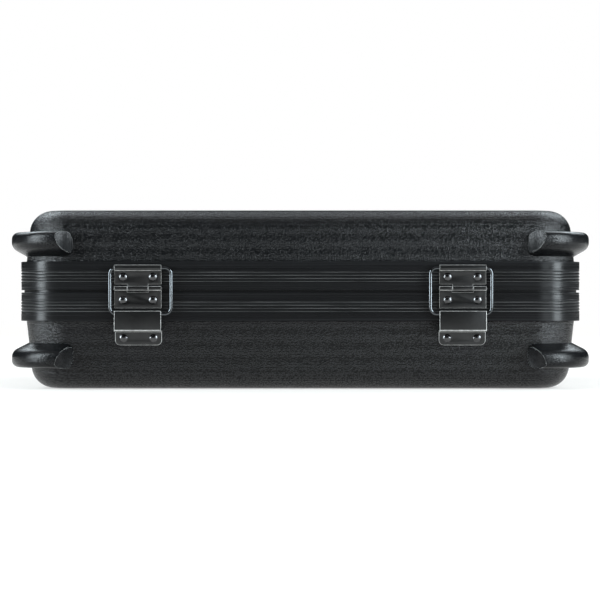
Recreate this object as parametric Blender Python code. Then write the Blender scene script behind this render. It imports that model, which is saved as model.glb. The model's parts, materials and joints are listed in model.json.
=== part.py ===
"""Moulded hard case for an effects processor.

The case lies flat and closed: a lid and a base shell of moulded plastic, each rimmed by an aluminium
valance, joined by two stay hinges at the back and closed by two spring catches at the front, where a
carrying handle hangs. The inside is lined with foam. Metres, +Z up, hinge side towards -Y, origin on
the ground under the middle of the case.
"""

import math

import bmesh
import bpy
from mathutils import Vector

# Clearance between faces that touch on the real case
GAP = 0.0003

# The case as a whole, measured over the valance
VALANCE_WIDTH = 0.500
VALANCE_DEPTH = 0.350
CORNER_RADIUS = 0.045
BASE_HEIGHT = 0.0861
LID_HEIGHT = 0.0719
PARTING_GAP = 0.0021

# Moulded shells
WALL = 0.004
DRAFT = math.radians(6)
EDGE_RADIUS = 0.020
SHELL_INSET = 0.0048
CORNER_STEPS = 6
EDGE_STEPS = 4

# Bumper fins moulded round each corner of both shells
FIN_PROUD = 0.0087
FIN_HEIGHT = 0.0217
FIN_SLANT = 0.0125
FIN_NOSE = 0.006
FIN_ROOT = 0.002
FIN_TOE = 0.0005
FIN_REACH = 0.005
FIN_RIDGE_NEAR = math.radians(8)
FIN_RIDGE_FAR = math.radians(12)
FIN_STEPS = 5
FIN_NOSE_STEPS = 3
LID_FIN_RISE = 0.0308
BASE_FIN_DROP = 0.0458

# Aluminium valance
BAND_HEIGHT = 0.0252
FLANGE = 0.002
WEB = 0.003
LIP = 0.002
INNER_FLANGE = 0.0015
INNER_FLANGE_HEIGHT = 0.016
GROOVE_COUNT = 4
GROOVE_PITCH = 0.0027
GROOVE_START = 0.0080
GROOVE_DEPTH = 0.0006
GROOVE_WIDTH = 0.0012
TONGUE_INSET = 0.0055
TONGUE_WIDTH = 0.0016
TONGUE_TIP = 0.0012
TONGUE_PLAY = 0.0004

# Pressed steel of the hinges and catches
SHEET = 0.00105
KNUCKLE_RADIUS = 0.00225
CURL_STEPS = 9
CURL_SWEEP = 290

# Stay hinges on the back, placed by the distance from the case's end to their middle
HINGE_INSET = 0.108
HINGE_WIDTH = 0.041
HINGE_AXIS_RISE = 0.0023
MIDDLE_KNUCKLE = 0.018
NOTCH_RELIEF = 0.0015
BASE_LEAF_LENGTH = 0.0172
HINGE_RIVET_SPACING = 0.0262
LID_LEAF_RIVET_RISE = 0.0101
BASE_LEAF_RIVET_DROP = 0.0101
PIN_HEAD_RADIUS = 0.0016
PIN_HEAD_LENGTH = 0.0008

# Wire stay loops and the keepers that hold them
STAY_WIRE_RADIUS = 0.0015
STAY_WIDTH = 0.0535
STAY_BEND_RADIUS = 0.004
STAY_BEND_STEPS = 4
STAY_WIRE_SIDES = 8
STAY_PIVOT_RISE = 0.018
STAY_LEG_DROP = 0.0403
STAY_LEG_LIFT = 0.0004
STAY_SHIFT = {"left": 0.0023, "right": -0.0015}
KEEPER_SHEET = 0.0012
KEEPER_LIFT = 0.0057
KEEPER_TOP_DROP = 0.0195
KEEPER_TONGUE_LENGTH = 0.0170
KEEPER_FLANGE_LENGTH = 0.0132
KEEPER_RIVET_DROP = 0.0068
KEEPER_CORNER = 0.004

# Rivets, and the strap inside the shell under the tails of the keeper's rivets
RIVET_HEAD_RADIUS = 0.0037
RIVET_HEAD_HEIGHT = 0.0020
RIVET_CROWN_RADIUS = 0.0028
RIVET_CROWN_HEIGHT = 0.0014
RIVET_SHANK_RADIUS = 0.0020
RIVET_TAIL_RADIUS = 0.0030
RIVET_TAIL_HEIGHT = 0.0010
RIVET_SIDES = 8
STRAP_THICKNESS = 0.0010
STRAP_MARGIN = 0.0055

# Spring catches on the front, placed by the distance from the case's end to the hasp's middle
CATCH_INSET = 0.100
CATCH_DROP = 0.0126
CATCH_HEIGHT = 0.019
CATCH_LIFT = 0.0054
CATCH_BOX_START = -0.008
CATCH_BOX_END = 0.033
CATCH_EAR = 0.009
CATCH_RIVET_EDGE = 0.0045
HASP_WIDTH = 0.020
HASP_NECK = 0.010
HASP_PLATE_WIDTH = 0.030
HASP_PLATE_LENGTH = 0.0150
HASP_AXIS_RISE = 0.0061
HASP_RIVET_SPACING = 0.019
HASP_RIVET_RISE = 0.0088
HASP_JOG_DROP = 0.0050
HASP_LIP = 0.0008
HASP_LIP_DROP = 0.0022
STAPLE_WIDTH = 0.008
STAPLE_HEIGHT = 0.0036
STAPLE_DEPTH = 0.0030
STAPLE_EYE = 0.0018
STAPLE_SLOT_PLAY = 0.0012
BUTTON_TRAVEL = 0.0045
BUTTON_START = 0.013
BUTTON_LENGTH = 0.007
BUTTON_HEIGHT = 0.006
BUTTON_PROUD = 0.0018
SLIDER_MARGIN = 0.0015
SLIDER_THICKNESS = 0.0010
BOLT_THICKNESS = 0.0012
BOLT_REACH = 0.003
SPRING_RADIUS = 0.00145
SPRING_WIRE = 0.0003
SPRING_TURNS = 5
SPRING_STEPS = 6
SPRING_SIDES = 4

# Carrying handle on the front
HANDLE_SPAN = 0.124
HANDLE_DROP = 0.036
HANDLE_BEND = 0.012
HANDLE_BEND_STEPS = 4
HANDLE_SIDES = 10
EYE_STEPS = 2
EYE_SWEEP = math.radians(70)
GRIP_HEIGHT = 0.014
GRIP_DEPTH = 0.0125
GRIP_CLEARANCE = 0.0006
ARM_WIDTH = 0.007
ARM_DEPTH = 0.0056
HANDLE_PIN_RADIUS = 0.0014
HANDLE_PIN_DROP = 0.0126
HANDLE_PIN_LIFT = 0.0049
HANDLE_PIN_HEAD = 0.0021
BRACKET_THICKNESS = 0.0015
BRACKET_HEIGHT = 0.021
BRACKET_RIVET_EDGE = 0.0045
EAR_RADIUS = 0.0029
ROUND_STEPS = 6

# Foam lining
FOAM_TOP_DROP = 0.007
POCKET_WIDTH = 0.425
POCKET_DEPTH = 0.282
POCKET_RADIUS = 0.012
POCKET_FLOOR = 0.016
LID_FOAM_THICKNESS = 0.028
POCKET_STEPS = 4

# Planes and lines that follow from the sizes above
HALF_WIDTH = VALANCE_WIDTH / 2
HALF_DEPTH = VALANCE_DEPTH / 2
HINGE_OFFSET = HALF_WIDTH - HINGE_INSET
CATCH_OFFSET = HALF_WIDTH - CATCH_INSET
CASE_HEIGHT = BASE_HEIGHT + LID_HEIGHT
BASE_TOP = BASE_HEIGHT - PARTING_GAP / 2
LID_BOTTOM = BASE_HEIGHT + PARTING_GAP / 2
BASE_BAND_EDGE = BASE_TOP - BAND_HEIGHT
LID_BAND_EDGE = LID_BOTTOM + BAND_HEIGHT
INNER_FACE = SHELL_INSET + WALL + GAP + INNER_FLANGE
FOAM_SIDE_GAP = max(INNER_FLANGE, STRAP_THICKNESS) + RIVET_TAIL_HEIGHT + 3 * GAP
CURL_RADIUS = STAY_WIRE_RADIUS + GAP + SHEET
PIN_RADIUS = KNUCKLE_RADIUS - SHEET - GAP
HINGE_AXIS = (GAP + KNUCKLE_RADIUS, BASE_HEIGHT + HINGE_AXIS_RISE)
STAY_PIVOT = (GAP + CURL_RADIUS, HINGE_AXIS[1] + STAY_PIVOT_RISE)
STAY_LEG = (STAY_LEG_LIFT + STAY_WIRE_RADIUS, STAY_PIVOT[1] - STAY_LEG_DROP)
HASP_AXIS = (GAP + KNUCKLE_RADIUS, LID_BOTTOM + HASP_AXIS_RISE)
CATCH_HEIGHT_ABOVE_GROUND = BASE_TOP - CATCH_DROP
HANDLE_PIN = (HANDLE_PIN_LIFT, BASE_TOP - HANDLE_PIN_DROP)
BACK = -1
FRONT = 1
SIDES = {"left": -1, "right": 1}


def material(name, colour, roughness, metallic):
    """A Principled material with one plain colour."""
    made = bpy.data.materials.new(name)
    made.use_nodes = True
    shader = made.node_tree.nodes["Principled BSDF"]
    shader.inputs["Base Color"].default_value = (*colour, 1.0)
    shader.inputs["Roughness"].default_value = roughness
    shader.inputs["Metallic"].default_value = metallic
    return made


def at(side, x, out, z):
    """A point given by its height and by how far it stands out from the valance's front or back face."""
    return Vector((x, side * (HALF_DEPTH + out), z))


def finish(name, bm, surface, pivot=None):
    """Makes the object of a built mesh. A pivot is an empty on the joint's axis."""
    bmesh.ops.recalc_face_normals(bm, faces=bm.faces)
    origin = pivot["place"] if pivot else Vector((0, 0, 0))
    bmesh.ops.translate(bm, verts=bm.verts, vec=-origin)
    mesh = bpy.data.meshes.new(name)
    bm.to_mesh(mesh)
    bm.free()
    mesh.materials.append(surface)
    made = bpy.data.objects.new(name, mesh)
    bpy.context.scene.collection.objects.link(made)
    if pivot:
        made.parent = pivot["empty"]
    mesh.shade_smooth()
    mesh.set_sharp_from_angle(angle=math.radians(35))
    return made


def joint_pivot(name, place, carrier=None):
    """An empty on a joint's axis, carried by another such empty where the joint rides on a moving piece."""
    empty = bpy.data.objects.new(name, None)
    bpy.context.scene.collection.objects.link(empty)
    if carrier:
        empty.parent = carrier["empty"]
        empty.location = place - carrier["place"]
    else:
        empty.location = place
    return {"empty": empty, "place": place}


def loft(bm, loops, closed=False, capped=True):
    """Skins a row of loops that have the same number of points."""
    rows = [[bm.verts.new(point) for point in loop] for loop in loops]
    count = len(rows[0])
    pairs = list(zip(rows, rows[1:]))
    if closed:
        pairs.append((rows[-1], rows[0]))
    for first, second in pairs:
        for i in range(count):
            j = (i + 1) % count
            bm.faces.new((first[i], first[j], second[j], second[i]))
    if capped and not closed:
        bm.faces.new(rows[0])
        bm.faces.new(rows[-1])


def prism(bm, outline, run):
    """Extrudes a flat outline along a vector."""
    face = bm.faces.new([bm.verts.new(point) for point in outline])
    grown = bmesh.ops.extrude_face_region(bm, geom=[face])
    moved = [item for item in grown["geom"] if isinstance(item, bmesh.types.BMVert)]
    bmesh.ops.translate(bm, verts=moved, vec=run)


def box(bm, low, high):
    """A block between two corners."""
    xs, ys, zs = zip(low, high)
    outline = [(min(xs), min(ys), min(zs)), (max(xs), min(ys), min(zs)),
               (max(xs), max(ys), min(zs)), (min(xs), max(ys), min(zs))]
    prism(bm, outline, Vector((0, 0, max(zs) - min(zs))))


def turned(bm, profile, origin, direction, sides):
    """Spins a profile of (radius, distance along the axis) points that starts and ends on the axis."""
    direction = direction.normalized()
    across = direction.orthogonal().normalized()
    verts = [bm.verts.new(origin + across * radius + direction * along) for radius, along in profile]
    edges = [bm.edges.new(pair) for pair in zip(verts, verts[1:])]
    bmesh.ops.spin(bm, geom=verts + edges, cent=origin, axis=direction, angle=math.tau, steps=sides)
    bmesh.ops.remove_doubles(bm, verts=bm.verts, dist=0.00001)


def arc(centre, radius, start, end, steps):
    """Points round a centre from one angle in degrees to another."""
    points = []
    for i in range(steps + 1):
        angle = math.radians(start + (end - start) * i / steps)
        points.append((centre[0] + radius * math.cos(angle), centre[1] + radius * math.sin(angle)))
    return points


def strip(line, thickness):
    """The outline of sheet metal bent along a line."""
    left, right = [], []
    for i, point in enumerate(line):
        before = Vector(line[max(i - 1, 0)])
        after = Vector(line[min(i + 1, len(line) - 1)])
        here = Vector(point)
        steps = [step.normalized() for step in (here - before, after - here) if step.length > 0]
        along = sum(steps, Vector((0, 0))).normalized()
        reach = thickness / 2 / max(along.dot(steps[0]), 0.5)
        across = Vector((-along.y, along.x)) * reach
        left.append(here + across)
        right.append(here - across)
    return left + right[::-1]


def bent_sheet(bm, side, outline, start, end):
    """Extrudes an outline of (out, height) points across the case from one x to another."""
    prism(bm, [at(side, start, out, z) for out, z in outline], Vector((end - start, 0, 0)))


def boolean(target, name, operation, build):
    """Joins a hidden shape to an object, or cuts it away."""
    bm = bmesh.new()
    build(bm)
    bmesh.ops.recalc_face_normals(bm, faces=bm.faces)
    mesh = bpy.data.meshes.new(name)
    bm.to_mesh(mesh)
    bm.free()
    tool = bpy.data.objects.new(name, mesh)
    bpy.context.scene.collection.objects.link(tool)
    tool.parent = target.parent
    if target.parent:
        tool.location = -world_place(target.parent)
    tool.hide_render = True
    tool.display_type = "WIRE"
    modifier = target.modifiers.new(name, "BOOLEAN")
    modifier.operation = operation
    modifier.solver = "EXACT"
    modifier.object = tool


def world_place(empty):
    """Where an empty stands, added up along its parents."""
    place = empty.location.copy()
    while empty.parent:
        empty = empty.parent
        place += empty.location
    return place


def drill(target, rivets, radius=RIVET_SHANK_RADIUS + GAP):
    """Cuts the hole of each rivet through an object."""
    reach = INNER_FACE + 4 * RIVET_TAIL_RADIUS

    def build(bm):
        for head, direction in rivets:
            ends = [(0, -reach), (radius, -reach), (radius, reach), (0, reach)]
            turned(bm, ends, head, direction, RIVET_SIDES)

    boolean(target, target.name + "_holes", "DIFFERENCE", build)


def corner_point(signs, inset, angle, along=(0, 0)):
    """A point of the case's plan near one corner. Angle 0 faces front or back, a right angle the end."""
    reach = CORNER_RADIUS - inset
    x = HALF_WIDTH - CORNER_RADIUS + reach * math.sin(angle) - along[0]
    y = HALF_DEPTH - CORNER_RADIUS + reach * math.cos(angle) - along[1]
    return signs[0] * x, signs[1] * y


def plan(inset):
    """The rounded rectangle of the case's plan, clockwise from the front's left end."""
    points = []
    for signs, start in (((1, 1), 0), ((1, -1), 1), ((-1, -1), 0), ((-1, 1), 1)):
        for i in range(CORNER_STEPS + 1):
            share = i / CORNER_STEPS
            angle = math.pi / 2 * (1 - share if start else share)
            points.append(corner_point(signs, inset, angle))
    return points


def shell_inset(z):
    """How far the shell's outer face stands in from the valance's outer face at a height."""
    beyond = max(z - LID_BAND_EDGE, BASE_BAND_EDGE - z, 0)
    return SHELL_INSET + math.tan(DRAFT) * beyond


def shell_levels(band_edge, outer_plane, upward):
    """(inset, height) points of a shell's outer face, then of its inner face, from the closed end round."""
    side = 1 if upward else -1
    centre_z = outer_plane - side * EDGE_RADIUS
    tangent_z = centre_z + side * EDGE_RADIUS * math.sin(DRAFT)
    centre_inset = shell_inset(tangent_z) + EDGE_RADIUS * math.cos(DRAFT)
    rim = (LID_BOTTOM if upward else BASE_TOP) + side * (WEB + GAP)

    def wall_face(depth):
        turn = arc((centre_inset, 0), EDGE_RADIUS - depth, 90, 180 - math.degrees(DRAFT), EDGE_STEPS)
        levels = [(inset, centre_z + side * rise) for inset, rise in turn]
        return levels + [(SHELL_INSET + depth, band_edge), (SHELL_INSET + depth, rim)]

    return wall_face(0) + wall_face(WALL)[::-1]


def fin(bm, signs, start, side):
    """One bumper fin: a section with a slanted near side and a rounded nose, carried round a corner."""
    def height(rise):
        return start + side * rise

    nose = [(-FIN_PROUD + FIN_NOSE - out, FIN_HEIGHT - FIN_NOSE + rise)
            for out, rise in arc((0, 0), FIN_NOSE, 0, 90, FIN_NOSE_STEPS)]
    outer = [(-FIN_PROUD, FIN_SLANT)] + nose

    def section(proud):
        foot = shell_inset(height(0))
        points = [(foot + FIN_ROOT, 0), (foot + FIN_TOE, 0)]
        for inset, rise in outer:
            buried = shell_inset(height(rise)) + FIN_TOE
            points.append((inset if proud else buried, rise))
        points.append((shell_inset(height(FIN_HEIGHT)) + FIN_ROOT, FIN_HEIGHT))
        return points

    def station(proud, angle_of, along):
        return [(*corner_point(signs, inset, angle_of(rise), along), height(rise))
                for inset, rise in section(proud)]

    def ridge(rise):
        return FIN_RIDGE_NEAR + (FIN_RIDGE_FAR - FIN_RIDGE_NEAR) * rise / FIN_HEIGHT

    loops = [station(False, lambda rise: 0, (FIN_REACH, 0)), station(True, ridge, (0, 0))]
    first = FIN_RIDGE_FAR * 2
    for i in range(FIN_STEPS + 1):
        angle = first + (math.pi / 2 - 2 * first) * i / FIN_STEPS
        loops.append(station(True, lambda rise, angle=angle: angle, (0, 0)))
    loops.append(station(True, lambda rise: math.pi / 2 - ridge(rise), (0, 0)))
    loops.append(station(False, lambda rise: math.pi / 2, (0, FIN_REACH)))
    loft(bm, loops)


def shell(name, surface, upward, pivot=None):
    """A lid or base shell with its four corner fins."""
    bm = bmesh.new()
    if upward:
        levels = shell_levels(LID_BAND_EDGE, CASE_HEIGHT, True)
    else:
        levels = shell_levels(BASE_BAND_EDGE, 0.0, False)
    loft(bm, [[(x, y, z) for x, y in plan(inset)] for inset, z in levels])
    made = finish(name, bm, surface, pivot)
    start = BASE_HEIGHT + (LID_FIN_RISE if upward else -BASE_FIN_DROP)

    def fins(bm):
        for signs in ((1, 1), (1, -1), (-1, -1), (-1, 1)):
            fin(bm, signs, start, 1 if upward else -1)

    boolean(made, name + "_fins", "UNION", fins)
    return made


def band_section(upward):
    """(inset, distance from the parting face) points round the valance's section."""
    groove_edge = TONGUE_INSET - TONGUE_PLAY
    if upward:
        far_edge = TONGUE_INSET + TONGUE_WIDTH + TONGUE_PLAY
        depth = TONGUE_TIP + GAP
        key = [(groove_edge, 0), (groove_edge, depth), (far_edge, depth), (far_edge, 0)]
    else:
        rise = -PARTING_GAP - TONGUE_TIP
        key = [(TONGUE_INSET, 0), (TONGUE_INSET, rise),
               (TONGUE_INSET + TONGUE_WIDTH, rise), (TONGUE_INSET + TONGUE_WIDTH, 0)]
    points = [(0, 0)] + key
    points += [(INNER_FACE, 0), (INNER_FACE, INNER_FLANGE_HEIGHT),
               (INNER_FACE - INNER_FLANGE, INNER_FLANGE_HEIGHT),
               (INNER_FACE - INNER_FLANGE, WEB), (FLANGE, WEB), (FLANGE, BAND_HEIGHT - LIP),
               (SHELL_INSET - GAP, BAND_HEIGHT - LIP), (SHELL_INSET - GAP, BAND_HEIGHT), (0, BAND_HEIGHT)]
    for i in reversed(range(GROOVE_COUNT)):
        middle = GROOVE_START + i * GROOVE_PITCH
        points += [(0, middle + GROOVE_WIDTH / 2), (GROOVE_DEPTH, middle), (0, middle - GROOVE_WIDTH / 2)]
    return points


def valance(name, surface, upward, pivot=None):
    """An aluminium band bent round the rim of a shell, with its ends meeting in the middle of the front."""
    face = LID_BOTTOM if upward else BASE_TOP
    side = 1 if upward else -1
    section = band_section(upward)
    bm = bmesh.new()
    stations = len(plan(0)) + 2
    loops = [[] for _ in range(stations)]
    for inset, rise in section:
        path = [(GAP / 2, HALF_DEPTH - inset)] + plan(inset) + [(-GAP / 2, HALF_DEPTH - inset)]
        for loop, (x, y) in zip(loops, path):
            loop.append((x, y, face + side * rise))
    loft(bm, loops)
    return finish(name, bm, surface, pivot)


def rivet(bm, head, direction, grip):
    """A domed rivet: its head stands on the given point and its tail is set beyond the grip."""
    start = GAP
    tail = -grip - GAP
    end = tail - RIVET_TAIL_HEIGHT
    profile = [(0, end), (RIVET_TAIL_RADIUS, end), (RIVET_TAIL_RADIUS, tail),
               (RIVET_SHANK_RADIUS, tail), (RIVET_SHANK_RADIUS, start), (RIVET_HEAD_RADIUS, start),
               (RIVET_CROWN_RADIUS, start + RIVET_CROWN_HEIGHT), (0, start + RIVET_HEAD_HEIGHT)]
    turned(bm, profile, head, direction, RIVET_SIDES)


def set_rivets(name, surface, rivets, grip, pivot=None):
    """One rivet in each of the given holes."""
    for number, (head, direction) in enumerate(rivets, start=1):
        bm = bmesh.new()
        rivet(bm, head, direction, grip)
        finish(f"{name}_{number}", bm, surface, pivot)


def pair(side, x, spacing, out, z):
    """The heads and directions of two rivets side by side on the front or back face."""
    outward = Vector((0, side, 0))
    return [(at(side, x - spacing / 2, out, z), outward), (at(side, x + spacing / 2, out, z), outward)]


def knuckle_line(axis, radius, start, end):
    """The middle line of sheet metal rolled round an axis."""
    return arc(axis, radius - SHEET / 2, start, end, CURL_STEPS)


def notch(bm, side, spans, low, high):
    """Blocks that clear the sheet between two heights over stretches of the width."""
    reach = 3 * KNUCKLE_RADIUS
    for start, end in spans:
        box(bm, at(side, start, -reach, low), at(side, end, GAP + reach, high))


def lid_leaf(name, x, surface, rivets, pivot):
    """The leaf on the lid: a middle knuckle below and a curl for the stay along its top."""
    line = knuckle_line(HINGE_AXIS, KNUCKLE_RADIUS, 180 + CURL_SWEEP, 180)
    line += knuckle_line(STAY_PIVOT, CURL_RADIUS, 180, 180 - CURL_SWEEP)
    bm = bmesh.new()
    bent_sheet(bm, BACK, strip(line, SHEET), x - HINGE_WIDTH / 2, x + HINGE_WIDTH / 2)
    made = finish(name, bm, surface, pivot)
    half, end = MIDDLE_KNUCKLE / 2, HINGE_WIDTH
    low = HINGE_AXIS[1] - 2 * KNUCKLE_RADIUS
    high = HINGE_AXIS[1] + KNUCKLE_RADIUS + NOTCH_RELIEF

    def sides_cut(bm):
        notch(bm, BACK, ((x - end, x - half), (x + half, x + end)), low, high)

    boolean(made, name + "_notches", "DIFFERENCE", sides_cut)
    drill(made, rivets)
    return made


def base_leaf(name, x, surface, rivets):
    """The leaf on the base, with a knuckle at each end of its top."""
    bottom = (GAP + SHEET / 2, HINGE_AXIS[1] - BASE_LEAF_LENGTH)
    line = [bottom] + knuckle_line(HINGE_AXIS, KNUCKLE_RADIUS, 180, 180 - CURL_SWEEP)
    bm = bmesh.new()
    bent_sheet(bm, BACK, strip(line, SHEET), x - HINGE_WIDTH / 2, x + HINGE_WIDTH / 2)
    made = finish(name, bm, surface)
    half = MIDDLE_KNUCKLE / 2 + GAP
    low = HINGE_AXIS[1] - KNUCKLE_RADIUS - NOTCH_RELIEF / 2
    high = HINGE_AXIS[1] + 2 * KNUCKLE_RADIUS

    def middle_cut(bm):
        notch(bm, BACK, ((x - half, x + half),), low, high)

    boolean(made, name + "_notch", "DIFFERENCE", middle_cut)
    drill(made, rivets)
    return made


def headed_pin(bm, start, length, radius, head_radius):
    """A pin along X with a head at each end, outside the given length."""
    far = length + PIN_HEAD_LENGTH
    profile = [(0, -PIN_HEAD_LENGTH), (head_radius, -PIN_HEAD_LENGTH), (head_radius, 0), (radius, 0),
               (radius, length), (head_radius, length), (head_radius, far), (0, far)]
    turned(bm, profile, start, Vector((1, 0, 0)), RIVET_SIDES)


def hinge_pin(name, side, axis, x, width, surface, pivot=None):
    """The pin through the knuckles of a hinge or hasp."""
    bm = bmesh.new()
    length = width + 2 * GAP
    headed_pin(bm, at(side, x - length / 2, *axis), length, PIN_RADIUS, PIN_HEAD_RADIUS)
    return finish(name, bm, surface, pivot)


def stay_loop(name, x, surface, pivot):
    """A closed loop of round wire: its top leg turns in the curl, its bottom leg slides in the keeper."""
    top = at(BACK, x, *STAY_PIVOT)
    down = at(BACK, x, *STAY_LEG) - top
    length = down.length
    down.normalize()
    across = Vector((1, 0, 0))
    facing = across.cross(down)
    half_width, bend = STAY_WIDTH / 2, STAY_BEND_RADIUS
    loops = []
    corners = ((half_width - bend, length - bend, 0), (-half_width + bend, length - bend, 90),
               (-half_width + bend, bend, 180), (half_width - bend, bend, 270))
    for centre_x, centre_drop, start in corners:
        for i in range(STAY_BEND_STEPS + 1):
            angle = math.radians(start + 90 * i / STAY_BEND_STEPS)
            outward = across * math.cos(angle) + down * math.sin(angle)
            centre = top + across * centre_x + down * centre_drop + outward * bend
            ring = []
            for j in range(STAY_WIRE_SIDES):
                turn = math.tau * (j + 0.5) / STAY_WIRE_SIDES
                spoke = outward * math.cos(turn) + facing * math.sin(turn)
                ring.append(centre + spoke * STAY_WIRE_RADIUS)
            loops.append(ring)
    bm = bmesh.new()
    loft(bm, loops, closed=True)
    return finish(name, bm, surface, pivot)


def keeper_lines():
    """Heights of the keeper's top, of the top of its step and of its foot."""
    top = HINGE_AXIS[1] - KEEPER_TOP_DROP
    step = top - KEEPER_TONGUE_LENGTH
    return top, step, step - KEEPER_FLANGE_LENGTH


def keeper_face(z):
    """How far the keeper's lower flange stands out at a height, where it follows the drafted shell."""
    return GAP / math.cos(DRAFT) - shell_inset(z)


def keeper(name, x, surface, rivets):
    """The plate that covers the stay's bottom leg: a raised tongue, a step and a riveted flange."""
    top, step, foot = keeper_lines()
    half = KEEPER_SHEET / 2
    lean = half / math.cos(DRAFT)
    line = [(KEEPER_LIFT + half, top), (KEEPER_LIFT + half, step - half),
            (keeper_face(step - half) + lean, step - half), (keeper_face(foot) + lean, foot)]
    bm = bmesh.new()
    bent_sheet(bm, BACK, strip(line, KEEPER_SHEET), x - HINGE_WIDTH / 2, x + HINGE_WIDTH / 2)
    lower_corners = [edge for edge in bm.edges
                     if max(v.co.z for v in edge.verts) < foot + KEEPER_SHEET
                     and abs(edge.verts[0].co.x - edge.verts[1].co.x) < GAP]
    bmesh.ops.bevel(bm, geom=lower_corners, offset=KEEPER_CORNER, segments=3, profile=0.5, affect="EDGES")
    made = finish(name, bm, surface)
    drill(made, rivets)
    return made


def keeper_rivets(x):
    """Heads and directions of a keeper's rivets, square to the drafted shell."""
    z = keeper_lines()[1] - KEEPER_RIVET_DROP
    outward = Vector((0, -math.cos(DRAFT), -math.sin(DRAFT)))
    out = keeper_face(z) + KEEPER_SHEET / math.cos(DRAFT)
    return [(at(BACK, x + share * HINGE_RIVET_SPACING / 2, out, z), outward) for share in (-1, 1)]


def strap(name, surface, rivets, depth):
    """The strip inside the shell that backs a keeper's two rivets."""
    (first, outward), (second, _) = rivets
    across = (second - first).normalized()
    upward = outward.cross(across)
    ends = first - across * STRAP_MARGIN, second + across * STRAP_MARGIN
    near = [point - outward * depth for point in ends]
    outline = [near[0] - upward * STRAP_MARGIN, near[1] - upward * STRAP_MARGIN,
               near[1] + upward * STRAP_MARGIN, near[0] + upward * STRAP_MARGIN]
    bm = bmesh.new()
    prism(bm, outline, -outward * STRAP_THICKNESS)
    made = finish(name, bm, surface)
    drill(made, rivets)


def catch_body(name, centre, hand, surface, rivets):
    """A pressed cover on the base, with riveted ears and a raised box slotted for the staple and button."""
    z = CATCH_HEIGHT_ABOVE_GROUND
    half = CATCH_HEIGHT / 2

    def place(x, out, rise):
        return at(FRONT, centre + hand * x, out, z + rise)

    bm = bmesh.new()
    box(bm, place(CATCH_BOX_START - CATCH_EAR, GAP, -half),
        place(CATCH_BOX_END + CATCH_EAR, GAP + SHEET, half))
    made = finish(name, bm, surface)

    def raised(bm):
        box(bm, place(CATCH_BOX_START, GAP + SHEET / 2, -half + SHEET),
            place(CATCH_BOX_END, CATCH_LIFT, half - SHEET))

    def hollow(bm):
        box(bm, place(CATCH_BOX_START + SHEET, -SHEET, -half + 2 * SHEET),
            place(CATCH_BOX_END - SHEET, CATCH_LIFT - SHEET, half - 2 * SHEET))

    def slots(bm):
        staple_half = STAPLE_WIDTH / 2 + 2 * GAP
        inner, outer = CATCH_LIFT - 2 * SHEET, CATCH_LIFT + SHEET
        box(bm, place(-staple_half, inner, -STAPLE_HEIGHT / 2 - 2 * GAP),
            place(staple_half, outer, STAPLE_HEIGHT / 2 + STAPLE_SLOT_PLAY))
        box(bm, place(BUTTON_START - GAP, inner, -BUTTON_HEIGHT / 2 - GAP),
            place(BUTTON_START + BUTTON_LENGTH + BUTTON_TRAVEL + GAP, outer, BUTTON_HEIGHT / 2 + GAP))

    boolean(made, name + "_box", "UNION", raised)
    boolean(made, name + "_hollow", "DIFFERENCE", hollow)
    boolean(made, name + "_slots", "DIFFERENCE", slots)
    drill(made, rivets)
    return made


def catch_rivets(centre, hand):
    """Heads and directions of the rivets through a catch's two ears."""
    outward = Vector((0, FRONT, 0))
    places = (CATCH_BOX_START - CATCH_EAR + CATCH_RIVET_EDGE, CATCH_BOX_END + CATCH_EAR - CATCH_RIVET_EDGE)
    return [(at(FRONT, centre + hand * x, GAP + SHEET, CATCH_HEIGHT_ABOVE_GROUND), outward) for x in places]


def catch_button(name, centre, hand, surface, pivot):
    """A thumb button on a slider whose bolt reaches through the hasp's staple."""
    z = CATCH_HEIGHT_ABOVE_GROUND
    top = CATCH_LIFT - SHEET - GAP
    floor = top - SLIDER_THICKNESS
    slider_start = BUTTON_START - SLIDER_MARGIN
    slider_end = BUTTON_START + BUTTON_LENGTH + SLIDER_MARGIN
    half = BUTTON_HEIGHT / 2

    def place(x, out, rise):
        return at(FRONT, centre + hand * x, out, z + rise)

    bm = bmesh.new()
    box(bm, place(slider_start, floor, -half - SLIDER_MARGIN), place(slider_end, top, half + SLIDER_MARGIN))
    made = finish(name, bm, surface, pivot)

    def knob(bm):
        box(bm, place(BUTTON_START, top - SLIDER_THICKNESS / 2, -half),
            place(BUTTON_START + BUTTON_LENGTH, CATCH_LIFT + BUTTON_PROUD, half))

    def bolt(bm):
        middle = staple_middle()
        box(bm, place(STAPLE_WIDTH / 2 - BOLT_REACH, middle - BOLT_THICKNESS / 2, -BOLT_THICKNESS / 2),
            place(slider_start + SLIDER_MARGIN, middle + BOLT_THICKNESS / 2, BOLT_THICKNESS / 2))

    boolean(made, name + "_knob", "UNION", knob)
    boolean(made, name + "_bolt", "UNION", bolt)
    return made


def staple_middle():
    """How far out the middle of the staple's eye lies, level with the slider."""
    return CATCH_LIFT - SHEET - GAP - SLIDER_THICKNESS / 2


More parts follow.
